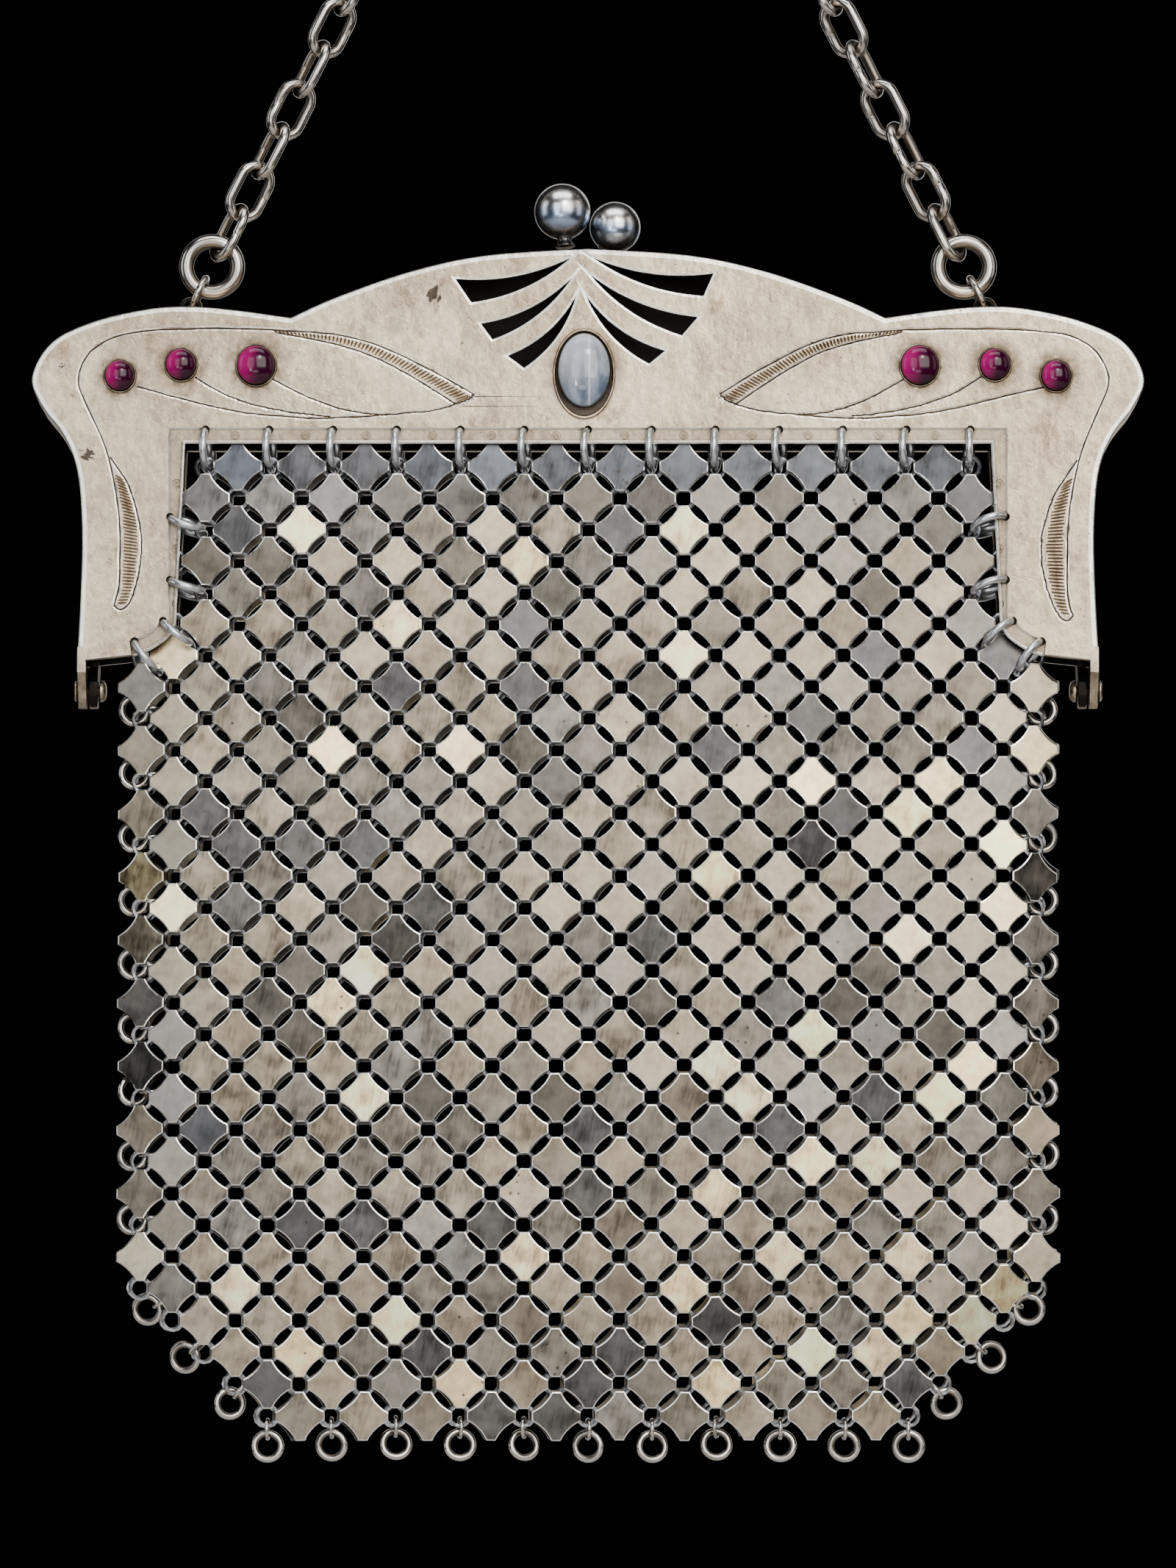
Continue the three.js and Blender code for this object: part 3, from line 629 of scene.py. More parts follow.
hinge = {
    "drop": 3.6, "radius": 2.4, "thickness": 1.2, "gap": 0.3, "rooting": 2.0, "round": 0.16,
    "pin": 1.4, "clearance": 0.3, "head": 3.0, "headHeight": 0.8, "arcFrom": 15, "arcOver": 150,
}
hingeZ = footBottom - hinge["drop"]
footOuter = outerLine[-1][0]
outerEarX = footOuter - hinge["thickness"] / 2
innerEarX = outerEarX - hinge["thickness"] - hinge["gap"]


def ear(side, across):
    # A rounded tongue below the foot, with the pin's hole in it later
    radius = hinge["radius"]
    reach, near = plateShape["front"] * side, plateShape["middle"] * side
    top = footBottom + hinge["rooting"]
    steps = 22
    angles = [-math.radians(hinge["arcFrom"] + hinge["arcOver"] * i / steps) for i in range(steps + 1)]
    arc = [(radius * math.cos(a) * side, hingeZ + radius * math.sin(a)) for a in angles]
    outline = [(reach, top), (near, top), (near, footBottom - hinge["gap"]),
               (-radius * side * 0.9, hingeZ + radius * 0.45), *arc[::-1],
               (reach, hingeZ + hinge["drop"] * 0.6)]
    piece = slab([outline], -hinge["thickness"] / 2, hinge["thickness"] / 2, hinge["round"])
    piece.data.transform(Matrix.Translation((across, 0, 0)) @ Matrix.Rotation(math.pi / 2, 4, "Z"))
    return piece


def pinHoles():
    holes = []
    for direction in (-1, 1):
        bpy.ops.mesh.primitive_cylinder_add(
            vertices=28, radius=hinge["pin"] / 2 + hinge["clearance"], depth=8,
            location=(direction * outerEarX, 0, hingeZ), rotation=(0, math.pi / 2, 0))
        bpy.ops.object.transform_apply(location=True, rotation=True)
        holes.append(bpy.context.view_layer.objects.active)
    return joinAll(holes, "pinHoles")


def addHinge(half, side):
    across = outerEarX if side < 0 else innerEarX
    for direction in (-1, 1):
        weld(half, ear(side, direction * across))
    carve(half, pinHoles())


def hingePin(direction):
    # Domed on the inside of the ears and riveted flat on the outside
    head, height = hinge["head"] / 2, hinge["headHeight"]
    shaft = hinge["pin"] / 2
    inside = innerEarX - hinge["thickness"] / 2 - hinge["gap"]
    outside = footOuter + hinge["gap"]
    profile = [(head * 0.45, inside - height), (head * 0.72, inside - height * 0.86),
               (head * 0.93, inside - height * 0.5), (head, inside - height * 0.2), (head, inside),
               (shaft, inside), (shaft, outside), (head * 0.94, outside), (head * 0.94, outside + 0.14),
               (head * 0.7, outside + 0.32), (0, outside + 0.36)]
    pin = turned(profile, 32)
    pin.data.transform(Matrix.Rotation(direction * math.pi / 2, 4, "Y"))
    pin.data.transform(Matrix.Translation((0, 0, hingeZ)))
    smoothPiece(pin, 40)
    return pin


# Pierced fans: tip and the two far corners, across of half the frame's width, down of its height

fans = {
    "bow": 2.3, "chamfer": 0.3, "steepness": 0.22,
    "slots": [((-0.03, 0.021), (-0.239, 0.073), (-0.21, 0.131)),
              ((-0.028, 0.069), (-0.193, 0.182), (-0.172, 0.221)),
              ((-0.021, 0.113), (-0.145, 0.26), (-0.115, 0.29)),
              ((0.007, 0.021), (0.226, 0.06), (0.208, 0.115)),
              ((0.003, 0.062), (0.198, 0.166), (0.169, 0.211)),
              ((-0.004, 0.113), (0.139, 0.248), (0.11, 0.28))],
}


def bowedEdge(start, end, steps=14):
    start, end = Vector(start), Vector(end)
    along = (end - start).normalized()
    sideways = Vector((along.y, -along.x)) if along.x > 0 else Vector((-along.y, along.x))
    middle = (start + end) / 2 + sideways * fans["bow"]
    return [tuple(start * (1 - t) ** 2 + middle * 2 * t * (1 - t) + end * t * t)
            for t in (i / steps for i in range(steps + 1))]


fanLines = []
for corners in fans["slots"]:
    tip, top, low = (framePoint(corner) for corner in corners)
    fanLines.append(bowedEdge(tip, top) + bowedEdge(tip, low)[::-1][:-1])


def cutFans(half):
    carve(half, joinAll([slab([line], -6, -3) for line in fanLines], "slots"))
    for line in fanLines:
        edge = groove(line, fans["chamfer"], -plateShape["front"], closed=True, steepness=fans["steepness"])
        carve(half, edge)


# Engraved ornament on both shoulders: millimetres out from the middle and down from the frame's top

ornament = {
    "cuts": [(0.34, 0.24), (0.16, 1.3)],  # half width and steepness: bright shoulders, then a dark line
    "wobble": 0.045, "hatchDepth": 0.2, "hatches": 54, "lowHatches": 40, "shortestHatch": 0.75,
    # how the right side differs from the left
    "shorter": 2.4, "shortFrom": 44, "outward": 1.5, "outwardFrom": 57, "lower": 1.5, "lowerFrom": 20,
    "contour": [(15.5, 20.0), (19.8, 17.5), (23.9, 15.4), (29.0, 13.1), (34.1, 11.8), (37.9, 11.5),
                (44.3, 11.1), (54.5, 11.0), (63.2, 11.7), (67.2, 13.6), (69.0, 16.2), (69.3, 18.7),
                (67.8, 22.3), (65.6, 27.5), (64.2, 33.5), (63.7, 37.6), (63.6, 42.7), (63.8, 46.8),
                (64.4, 48.8)],
    "leafInner": [(42.2, 11.6), (36.6, 12.6), (31.0, 14.1), (26.4, 16.2), (22.4, 18.5), (18.0, 21.3)],
    "leafTip": [(15.5, 20.0), (16.6, 20.8), (18.0, 21.3)],
    "lowerLeaf": [(65.0, 28.6), (62.7, 32.0), (61.4, 35.6), (60.7, 39.7), (60.9, 43.7), (61.6, 46.8),
                  (62.7, 49.0), (63.7, 49.4), (64.4, 48.8)],
    "stems": [[(61.4, 18.9), (54.5, 20.8), (47.3, 22.4), (40.2, 23.1), (34.1, 23.2), (26.4, 22.7),
               (21.3, 22.2), (18.0, 21.3)],
              [(53.5, 17.6), (49.4, 20.0), (44.3, 21.7), (39.2, 22.6), (35.1, 23.0)],
              [(42.9, 17.9), (38.2, 20.3), (34.1, 21.8), (30.0, 22.6), (27.0, 22.75)]],
}


def leafPlace(x, down, direction):
    # The right side's ornament lies a little further out and lower than the left side's.
    look = ornament
    if direction > 0:
        outer = min(max((x - look["outwardFrom"]) / 6, 0), 1)
        down += look["lower"] * outer * max(down - look["lowerFrom"], 0) / 30
        x += look["outward"] * outer
        x += look["shorter"] * max(look["shortFrom"] - x, 0) / (look["shortFrom"] - look["leafTip"][0][0])
    return direction * x, frameTop - down


def engraved(rows, direction, steps=90):
    points = []
    sway = 0
    for x, down in splinePoints(rows, steps):
        sway = sway * 0.7 + dice.uniform(-1, 1) * ornament["wobble"]
        points.append((*leafPlace(x + sway, down - sway, direction), dice.uniform(0.8, 1.15)))
    return points


def hatchCutters(upper, lower, count, direction, slant):
    # Short strokes from one line of a leaf to the other
    cutters = []
    for i in range(count):
        share = (i + 0.5) / count
        start = Vector(alongLine(upper, min(max(share + slant, 0.001), 0.999)))
        end = Vector(alongLine(lower, share))
        if (end - start).length < ornament["shortestHatch"]:
            continue
        inner = [start.lerp(end, t + dice.uniform(-0.04, 0.04)) for t in (0.2, 0.5, 0.8)]
        sway = dice.uniform(-0.05, 0.05)
        line = [(*leafPlace(p.x + sway * bend, p.y, direction), radius)
                for p, bend, radius in zip(inner, (0, 1, 0), (0.55, dice.uniform(0.85, 1.1), 0.55))]
        cutters.append(groove(line, ornament["hatchDepth"], -plateShape["front"]))
    return cutters


def cutOrnament(half):
    strokes = []
    for direction in (-1, 1):
        for rows in (ornament["contour"], ornament["leafInner"], ornament["leafTip"], ornament["lowerLeaf"],
                     *ornament["stems"]):
            line = engraved(rows, direction)
            for width, steepness in ornament["cuts"]:
                carve(half, groove(line, width, -plateShape["front"], steepness=steepness))
        outer = splinePoints(ornament["contour"], 200)
        leafOuter = [p for p in outer if p[0] < 44 and p[1] < 21][::-1]
        strokes += hatchCutters(leafOuter, splinePoints(ornament["leafInner"], 60), ornament["hatches"],
                                direction, 0.02)
        lowOuter = [p for p in outer if p[1] > 30]
        lowInner = [p for p in splinePoints(ornament["lowerLeaf"], 80) if 30 < p[1] < 49 and p[0] < 62.8]
        strokes += hatchCutters(lowInner, lowOuter, ornament["lowHatches"], direction, -0.015)
    # Neighbouring strokes touch, so every third one is cut at a time.
    for start in range(3):
        carve(half, joinAll(strokes[start::3], "strokes"))


punches = {"rings": ((1.3, 0.28), (0.5, 0.28)), "scatter": 0.7, "sideDrops": (5.6, 14.5, 22.0)}


def cutPunches(half):
    # Small ring punches along the ledge, between the sewing holes
    rings = []
    middle = openingTop + plateShape["ledge"] * 0.52
    scatter = punches["scatter"]
    places = [((i - middleHole + 0.5) * plateShape["holePitch"] + dice.uniform(-scatter, scatter), middle)
              for i in range(plateShape["holesAcross"] - 1)]
    sideX = plateShape["openingHalf"] + plateShape["ledge"] * 0.5
    places += [(side * sideX, openingTop - drop) for side in (-1, 1) for drop in punches["sideDrops"]]
    for x, z in places:
        for outer, wire in punches["rings"]:
            ring = wireRing(outer, wire, 20, 6)
            ring.data.transform(Matrix.Translation((x, -plateShape["ledgeFace"], z))
                                @ Matrix.Rotation(math.pi / 2, 4, "X"))
            rings.append(ring)
    carve(half, joinAll(rings, "punches"))


# Stones and their settings

settings = {
    # gap and wall of the collar, its rise from the plate, and how far it hangs below the stone's middle
    "moonstone": {"clear": 0.45, "wall": 0.24, "rise": 0.4, "drop": 0.4, "tall": 1.03, "foot": 0.08},
    "garnet": {"clear": 0.1, "wall": 0.2, "rise": 0.4, "drop": 0.0, "tall": 1.0, "foot": 0.06},
}
shadedStoneGaps = []
garnetNodes = [f"garnet_{size}_{hand}" for size in ("small", "mid", "large") for hand in ("left", "right")]


def stoneBox(node):
    low, high = (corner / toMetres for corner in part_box(node))
    return (low + high) / 2, high - low


def cabochon(node):
    # A dome on a short girdle, turned with unit size and then stretched to the node's box
    middle, size = stoneBox(node)
    girdle = 0.26
    profile = [(0.93, 0), (1, 0.06)]
    profile += [(math.cos(a), girdle + (1 - girdle) * math.sin(a))
                for a in (math.pi / 2 * i / 18 for i in range(18))]
    stone = turned(profile + [(0, 1)], 56)
    stone.data.transform(Matrix.Translation((middle.x, middle.y + size.y / 2, middle.z))
                         @ Matrix.Rotation(math.pi / 2, 4, "X")
                         @ Matrix.Diagonal((size.x / 2, size.z / 2, size.y, 1)))
    smoothPiece(stone, 40)
    return stone


def setting(node, look):
    middle, size = stoneBox(node)
    inner = size.x / 2 + look["clear"]
    outer = inner + look["wall"]
    top = look["rise"]
    foot = outer + look["foot"]
    tall = size.z / size.x * look["tall"]
    reach = inner + 0.02
    shadedStoneGaps.append((middle.x, middle.z - look["drop"], reach, reach * tall))
    profile = [(inner, -0.4), (inner, top - 0.08), (inner + 0.05, top), (outer - 0.06, top),
               (outer, top - 0.1), (foot - 0.02, 0.06), (foot, -0.05), (foot, -0.4), (inner, -0.4)]
    ring = turned(profile, 72, True)
    ring.data.transform(Matrix.Translation((middle.x, -plateShape["front"], middle.z - look["drop"]))
                        @ Matrix.Rotation(math.pi / 2, 4, "X")
                        @ Matrix.Diagonal((1, tall, 1, 1)))
    return ring


# The chain, its rings and the eyes that it starts from

chain = {
    "length": 8.85, "width": 6.1, "wire": 1.35, "bite": 0.15, "perSide": 17, "twist": 30, "easing": 4,
    "ovalWidth": 5.8, "seamShare": 0.9, "sway": 3,
    "ringOuter": 9.0, "ringWire": 2.0, "jumpOuter": 5.5, "jumpWire": 0.9,
    "eyeShare": 0.711, "eyeWire": 0.8, "eyeHalf": 1.2, "eyeRise": 1.8, "gap": 0.3,
}
chainPlane = (plateShape["front"] + plateShape["middle"]) / 2
topLink = Vector((0, 0, chain["wire"] - chain["width"] / 2))
linkPitch = chain["length"] - 2 * chain["wire"] + chain["bite"]
ringMean = (chain["ringOuter"] - chain["ringWire"]) / 2
jumpMean = (chain["jumpOuter"] - chain["jumpWire"]) / 2
hookInRing = ringMean - (chain["ringWire"] + chain["wire"]) / 2 - chain["gap"]
hookInLink = (chain["length"] - chain["wire"]) / 2 - chain["wire"] + chain["bite"]
hookInJump = jumpMean - (chain["jumpWire"] + chain["eyeWire"]) / 2 - chain["gap"]
ringFromEye = (hookInJump + ringMean - chain["ringWire"] / 2 - chain["gap"]
               + jumpMean - chain["jumpWire"] / 2)
eyeX = chain["eyeShare"] * halfWidth
strandLength = (ringFromEye + hookInRing + (chain["perSide"] - 1) * linkPitch
                + chain["length"] - chain["wire"])
eyeZ = topLink.z - math.sqrt(strandLength ** 2 - (eyeX - hookInLink) ** 2 - chainPlane ** 2)


def strand(direction):
    eye = Vector((direction * eyeX, chainPlane, eyeZ))
    hook = Vector((direction * hookInLink, 0, topLink.z))
    return eye, (hook - eye).normalized()


def strandFrame(along, twist):
    sideways = Vector((0, 1, 0)).cross(along).normalized()
    facing = sideways.cross(along).normalized()
    across = sideways * math.cos(twist) + facing * math.sin(twist)
    return across, along, across.cross(along)


def linkShape():
    # A ring drawn out to an oval; one leg keeps the fine seam where its wire was closed.
    around = 34
    oval = softRing(chain["ovalWidth"], chain["wire"], around, 14)
    oval.data.transform(Matrix.Rotation(math.pi / around, 4, "Z"))
    straight = (chain["length"] - chain["ovalWidth"]) / 2
    for vertex in oval.data.vertices:
        vertex.co.y += straight if vertex.co.y > 0 else -straight
    for seamY in (-0.1, 0.0, 0.1):
        editAll(oval)
        bpy.ops.mesh.bisect(plane_co=(0, seamY, 0), plane_no=(0, 1, 0))
        leaveEdit()
    legX = (chain["ovalWidth"] - chain["wire"]) / 2
    for vertex in oval.data.vertices:
        if abs(vertex.co.y) < 0.01 and vertex.co.x > 0:
            vertex.co.x = legX + (vertex.co.x - legX) * chain["seamShare"]
            vertex.co.z *= chain["seamShare"]
    smoothPiece(oval, 70)
    return oval


def buildChain():
    template = linkShape()
    links = [copyPiece(template, basis(Vector((0, 0, 1)), Vector((1, 0, 0)), Vector((0, 1, 0)), topLink))]
    for direction in (-1, 1):
        eye, along = strand(direction)
        for i in range(chain["perSide"]):
            distance = ringFromEye + hookInRing + (chain["length"] - chain["wire"]) / 2 + i * linkPitch
            fromTop = chain["perSide"] - i
            twist = chain["twist"] * min((fromTop - 1) / chain["easing"], 1) + (90 if fromTop % 2 else 0)
            twist += dice.uniform(-chain["sway"], chain["sway"]) if fromTop > 1 else 0
            flip = math.pi if dice.random() < 0.5 else 0
            matrix = basis(*strandFrame(along, direction * math.radians(twist)), eye + along * distance)
            links.append(copyPiece(template, matrix @ Matrix.Rotation(flip, 4, "Y")))
    removePiece(template)
    return joinAll(links, "chainLinks")


def strandRing(outer, wire, direction, distance, square):
    # Square rings face sideways, across the strand; the others face the front.
    eye, along = strand(direction)
    normal = Vector((0, 1, 0)).cross(along).normalized()
    facing = normal if square else normal.cross(along)
    ring = softRing(outer, wire, 64, 20)
    turn = Vector((0, 0, 1)).rotation_difference(facing).to_matrix().to_4x4()
    ring.data.transform(Matrix.Translation(eye + along * distance) @ turn)
    return ring


def chainEye(direction):
    # A staple on the back rim that leans as the chain pulls
    half, legs = chain["eyeHalf"], -chain["eyeRise"] - 0.5
    line = [(half, legs)] + [(half * math.cos(a), -half + half * math.sin(a))
                             for a in (math.pi * i / 14 for i in range(15))] + [(-half, legs)]
    eye = flatCurve("eye", [line], False, False)
    eye.data.bevel_depth = chain["eyeWire"] / 2
    eye.data.bevel_resolution = 3
    eye.data.use_fill_caps = True
    eye = curveToMesh(eye)
    _, along = strand(direction)
    upright(eye, 0)
    eye.data.transform(Matrix.Translation((direction * eyeX, chainPlane, eyeZ))
                       @ Matrix.Rotation(math.atan2(along.x, along.z), 4, "Y"))
    mergeDoubles(eye)
    return eye


# Ball clasp

balls = {
    "neckFoot": 1.3, "neckTop": 1.1, "gap": 0.3, "neckStart": 0.22,
    # node, piece, side, diameter, foot's place across, ball's place across, its depth and its rise
    "rows": [("clasp_ball_front", "claspBallFront", -1, 7.65, -3.1, -3.5, 1.9, 5.5),
             ("clasp_ball_back", "claspBallBack", 1, 6.95, 2.5, 3.7, 1.9, 3.9)],
}


def claspBall(side, diameter, footX, ballX, ballDepth, rise):
    foot = Vector((footX, side * chainPlane, frameTop + balls["gap"]))
    centre = Vector((ballX, side * ballDepth, frameTop + rise))
    reach = math.hypot(centre.x - foot.x, centre.y - foot.y)
    foot.z += balls["neckFoot"] * reach / (centre - foot).length
    lean = Vector((0, 0, 1)).rotation_difference(centre - foot).to_matrix().to_4x4()
    height, radius = (centre - foot).length, diameter / 2
    neckFoot, neckTop = balls["neckFoot"], balls["neckTop"]
    start = -math.acos(neckTop / radius)
    ballStart = height + radius * math.sin(start)
    neckStart = balls["neckStart"]
    profile = [(neckFoot - 0.12, 0), (neckFoot, 0.1), (neckFoot, neckStart)]
    if ballStart > 0.3:
        profile += [(neckTop + (neckFoot - neckTop) * (1 - t) ** 2 - 0.25 * math.sin(math.pi * t),
                     neckStart + (ballStart - neckStart) * t) for t in (0.2, 0.4, 0.6, 0.8)]
    profile += [(radius * math.cos(a), height + radius * math.sin(a))
                for a in (start + (math.pi / 2 - start) * i / 30 for i in range(30))]
    ball = turned(profile + [(0, height + radius)], 64)
    ball.data.transform(Matrix.Translation(foot) @ lean)
    smoothPiece(ball, 50)
    return ball


# Plate mesh

weave = {
    "stepAcross": 4.335, "stepDown": 4.3, "firstDrop": 29.7, "rows": 31, "plate": 6.6, "tip": 1.2,
    "thick": 0.62, "chamfer": 0.05, "bright": 0.15, "prong": 0.95, "cornerAt": 5.643, "cornerRadius": 5.56,
    "ring": 3.3, "ringWire": 0.5, "sideRound": 12, "tilt": 1.7, "halfWidth": 63.4, "height": 136.2,
    "depth": 3.7, "topHalf": 55.6, "shift": 0.07, "turn": 1.2, "ringTurn": 9, "ringReach": 15,
}
# Shares of the panel's height, half width ("top": inside the frame), depth, and depth at the side edge
sections = [(0, "top", 1, 1), (0.19, "top", 1, 1), (0.222, 1, 1.03, 0.62), (0.35, 1, 1.16, 0.46),
            (0.6, 1, 1.19, 0.46), (0.826, 1, 0.95, 0.46), (1, 0.688, 0.5, 0.46)]


def panelDepth(x, z):
    # How far the panel's outer face stands from the middle plane
    down = min(max((meshTop - z) / weave["height"], 0), 1)
    for above, below in zip(sections, sections[1:]):
        if below[0] >= down:
            break
    t = (down - above[0]) / (below[0] - above[0])
    rows = [(weave["topHalf"] if row[1] == "top" else row[1] * weave["halfWidth"], row[2], row[3])
            for row in (above, below)]
    width, depth, edge = (a + (b - a) * t for a, b in zip(*rows))
    turn = min(max(abs(x) - (width - weave["sideRound"]), 0) / weave["sideRound"], 1)
    return weave["depth"] * (depth - (depth - edge) * turn ** 2)


def plateReach(row):
    # Columns that the outermost plate of a row may stand at
    if row < 6:
        return 12
    return 14 if row < 26 else 13 - (row - 26)


def plateShapeMesh():
    # A square with its corners scooped out, its face inset to a bevel, and a prong bent back from each tip
    half, centre, radius = weave["plate"] / 2, weave["cornerAt"], weave["cornerRadius"]
    corner = []
    start = math.asin((centre - half) / radius)
    for i in range(6):
        angle = math.pi + start + (math.pi / 2 - 2 * start) * i / 5
        corner.append((centre + radius * math.cos(angle), centre + radius * math.sin(angle)))
    outline = []
    for quarter in range(4):
        turn = Matrix.Rotation(math.pi / 2 * quarter, 2)
        outline += [tuple(turn @ Vector(p)) for p in corner]
    bpy.ops.mesh.primitive_circle_add(vertices=len(outline), radius=half, fill_type="NGON")
    plate = bpy.context.view_layer.objects.active
    ordered = sorted(outline, key=lambda p: math.atan2(p[1], p[0]))
    rim = sorted(plate.data.vertices, key=lambda v: math.atan2(v.co.y, v.co.x))
    for vertex, place in zip(rim, ordered):
        vertex.co = (place[0], place[1], -weave["chamfer"])
    editAll(plate)
    bpy.ops.mesh.inset(thickness=weave["bright"], depth=weave["chamfer"])
    bpy.ops.mesh.select_all(action="SELECT")
    bpy.ops.mesh.region_to_loop()
    sideDrop = (0, 0, -weave["thick"] + weave["chamfer"])
    bpy.ops.mesh.extrude_region_move(TRANSFORM_OT_translate={"value": sideDrop})
    bpy.ops.mesh.edge_face_add()
    leaveEdit()
    prongs = [plate]
    prongPlace = (0, half - 0.22, -weave["thick"] - weave["prong"] / 2 + 0.1)
    for quarter in range(4):
        bpy.ops.mesh.primitive_cube_add(size=1, location=prongPlace)
        prong = bpy.context.view_layer.objects.active
        prong.scale = (weave["tip"] * 1.15, 0.4, weave["prong"])
        bpy.ops.object.transform_apply(location=True, scale=True)
        prong.data.transform(Matrix.Rotation(math.pi / 2 * quarter, 4, "Z"))
        prongs.append(prong)
    plate = joinAll(prongs, "plate")
    plate.data.transform(Matrix.Rotation(math.pi / 2, 4, "X"))
    faces = plate.data.polygons
    # Slanting rim faces of each plate get a painted highlight.
    rimHighlightValues = [1.0 if -0.995 < face.normal.y < -0.3 else 0.0 for face in faces]
    # Faces turned into the purse get painted shade, and faces deeper than the plate, such as the prongs, get
    # some.
    inner = [1.0 if face.normal.y > 0.9 else 0.35 if face.center.y > weave["thick"] else 0.0
             for face in faces]
    for name, values in (("rimHighlight", rimHighlightValues), ("inner", inner)):
        plate.data.attributes.new(name, "FLOAT", "FACE").data.foreach_set("value", values)
    return plate


def panelFrame(side, x, z, proud=0.0):
    # Axes of a plate that lies on the panel with its face outwards, and its place
    depth = panelDepth(x, z)
    slopeX = panelDepth(x + 0.5, z) - panelDepth(x - 0.5, z)
    slopeZ = panelDepth(x, z + 0.5) - panelDepth(x, z - 0.5)
    outward = Vector((-slopeX, side, -slopeZ)).normalized()
    yAxis = -outward
    xAxis = yAxis.cross(Vector((0, 0, 1))).normalized()
    return basis(xAxis, yAxis, xAxis.cross(yAxis), Vector((x, side * depth, z)) + outward * proud)


def rowZ(row):
    return frameTop - weave["firstDrop"] - row * weave["stepDown"]


tones = {
    # span of brightness and span of warmth
    "topRow": ((0.17, 0.28), (-0.9, -0.4)), "secondRow": ((0.22, 0.34), (-0.2, 0.3)),
    "bright": ((0.85, 1.35), (1.5, 2.0)), "cream": ((0.38, 0.48), (0.7, 1.1)),
    "grey": ((0.28, 0.38), (0.1, 0.6)), "dark": ((0.13, 0.22), (-0.3, 0.3)),
    # where each kind ends on a scale from 0 to 1, and how much further the very bright kind, a painted
    # reflection, reaches towards the lower right
    "secondRowTo": 0.5, "brightTo": 0.08, "reflectionLowerRight": 0.22, "creamTo": 0.55, "greyTo": 0.86,
}


def toneOf(row, x):
    # How bright and how warm a plate is: most are cream or grey, a few nearly dark or very bright; very
    # bright plates, a painted reflection, come more often towards the lower right.
    pick = dice.random()
    brightTo = tones["brightTo"] + tones["reflectionLowerRight"] * max(x / weave["halfWidth"], 0) * row / weave["rows"]
    if row == 0:
        kind = "topRow"
    elif row == 1 and pick < tones["secondRowTo"]:
        kind = "secondRow"
    else:
        kind = ("bright" if pick < brightTo else "cream" if pick < tones["creamTo"]
                else "grey" if pick < tones["greyTo"] else "dark")
    return [dice.uniform(*span) for span in tones[kind]]


def buildPanel(side):
    template = plateShapeMesh()
    faces = len(template.data.polygons)
    ring = softRing(weave["ring"], weave["ringWire"], 12, 4)
    ring.data.transform(Matrix.Rotation(math.pi / 2, 4, "X"))
    plates, rings = [], []
    tilt, shift, ringTurn = weave["tilt"], weave["shift"], weave["ringTurn"]
    for row in range(weave["rows"]):
        z = rowZ(row)
        reach = plateReach(row)
        for column in range(-reach - 1, reach + 2):
            x = column * weave["stepAcross"]
            if side > 0:
                # The back panel hangs a little askew, so that bits of it show through the front one.
                x += 0.4 * math.sin(rowZ(row) / 29 + 1)
                z = rowZ(row) + 0.4 + 0.35 * math.sin(column / 5.5)
            if (column + row) % 2 == 0:
                if abs(column) < weave["ringReach"]:
                    place = panelFrame(side, x, z, -weave["thick"] - 0.1)
                    turn = Matrix.Rotation(math.radians(dice.uniform(-ringTurn, ringTurn)), 4, "X")
                    rings.append(copyPiece(ring, place @ turn))
                continue
            if abs(column) > reach:
                continue
            wobble = (Matrix.Rotation(math.radians(dice.gauss(0, tilt)), 4, "X")
                      @ Matrix.Rotation(math.radians(dice.gauss(0, tilt)), 4, "Z")
                      @ Matrix.Rotation(math.radians(dice.gauss(0, weave["turn"])), 4, "Y"))
            moved = Matrix.Translation((dice.uniform(-shift, shift), 0, dice.uniform(-shift, shift)))
            plate = copyPiece(template, panelFrame(side, x, z) @ moved @ wobble)
            tone, warm = toneOf(row, x)
            for name, value in (("plateTone", tone), ("plateWarm", warm), ("plateTurn", dice.random())):
                layer = plate.data.attributes.new(name, "FLOAT", "FACE")
                layer.data.foreach_set("value", [value] * faces)
            plates.append(plate)
    removePiece(template)
    removePiece(ring)
    return joinAll(plates, "plates"), joinAll(rings, "rings")


sewing = {"ring": 5.6, "wire": 1.02, "lean": (5, 17), "backSquash": 0.6, "backNearer": 0.3}


def sewingRings(side):
    # From each hole of the ledge to the edge of the mesh; those at the back are flatter and lie nearer.
    template = softRing(sewing["ring"], sewing["wire"], 28, 10)
    mean = (sewing["ring"] - sewing["wire"]) / 2
    links = [((x, z), (x, rowZ(0))) for x, z in holeRow]
    for direction in (-1, 1):
        for (x, z), (column, row) in zip(sideHoles, sideJunctions):
            links.append(((direction * x, z), (direction * column * weave["stepAcross"], rowZ(row))))
    rings = []
    squash, nearer = (sewing["backSquash"], sewing["backNearer"]) if side > 0 else (1.0, 0)
    depthAxis = Vector((0, 1, 0))
    for (x, z), (jointX, jointZ) in links:
        along = Vector((jointX - x, 0, jointZ - z)).normalized()
        lean = math.radians(dice.uniform(*sewing["lean"]))
        normal = along.cross(depthAxis)
        centre = Vector((x, side * (plateShape["back"] - nearer), z)) + along * mean
        matrix = basis(along, depthAxis * squash, normal, centre)
        rings.append(copyPiece(template, matrix @ Matrix.Rotation(lean, 4, "X")))
    removePiece(template)
    return rings


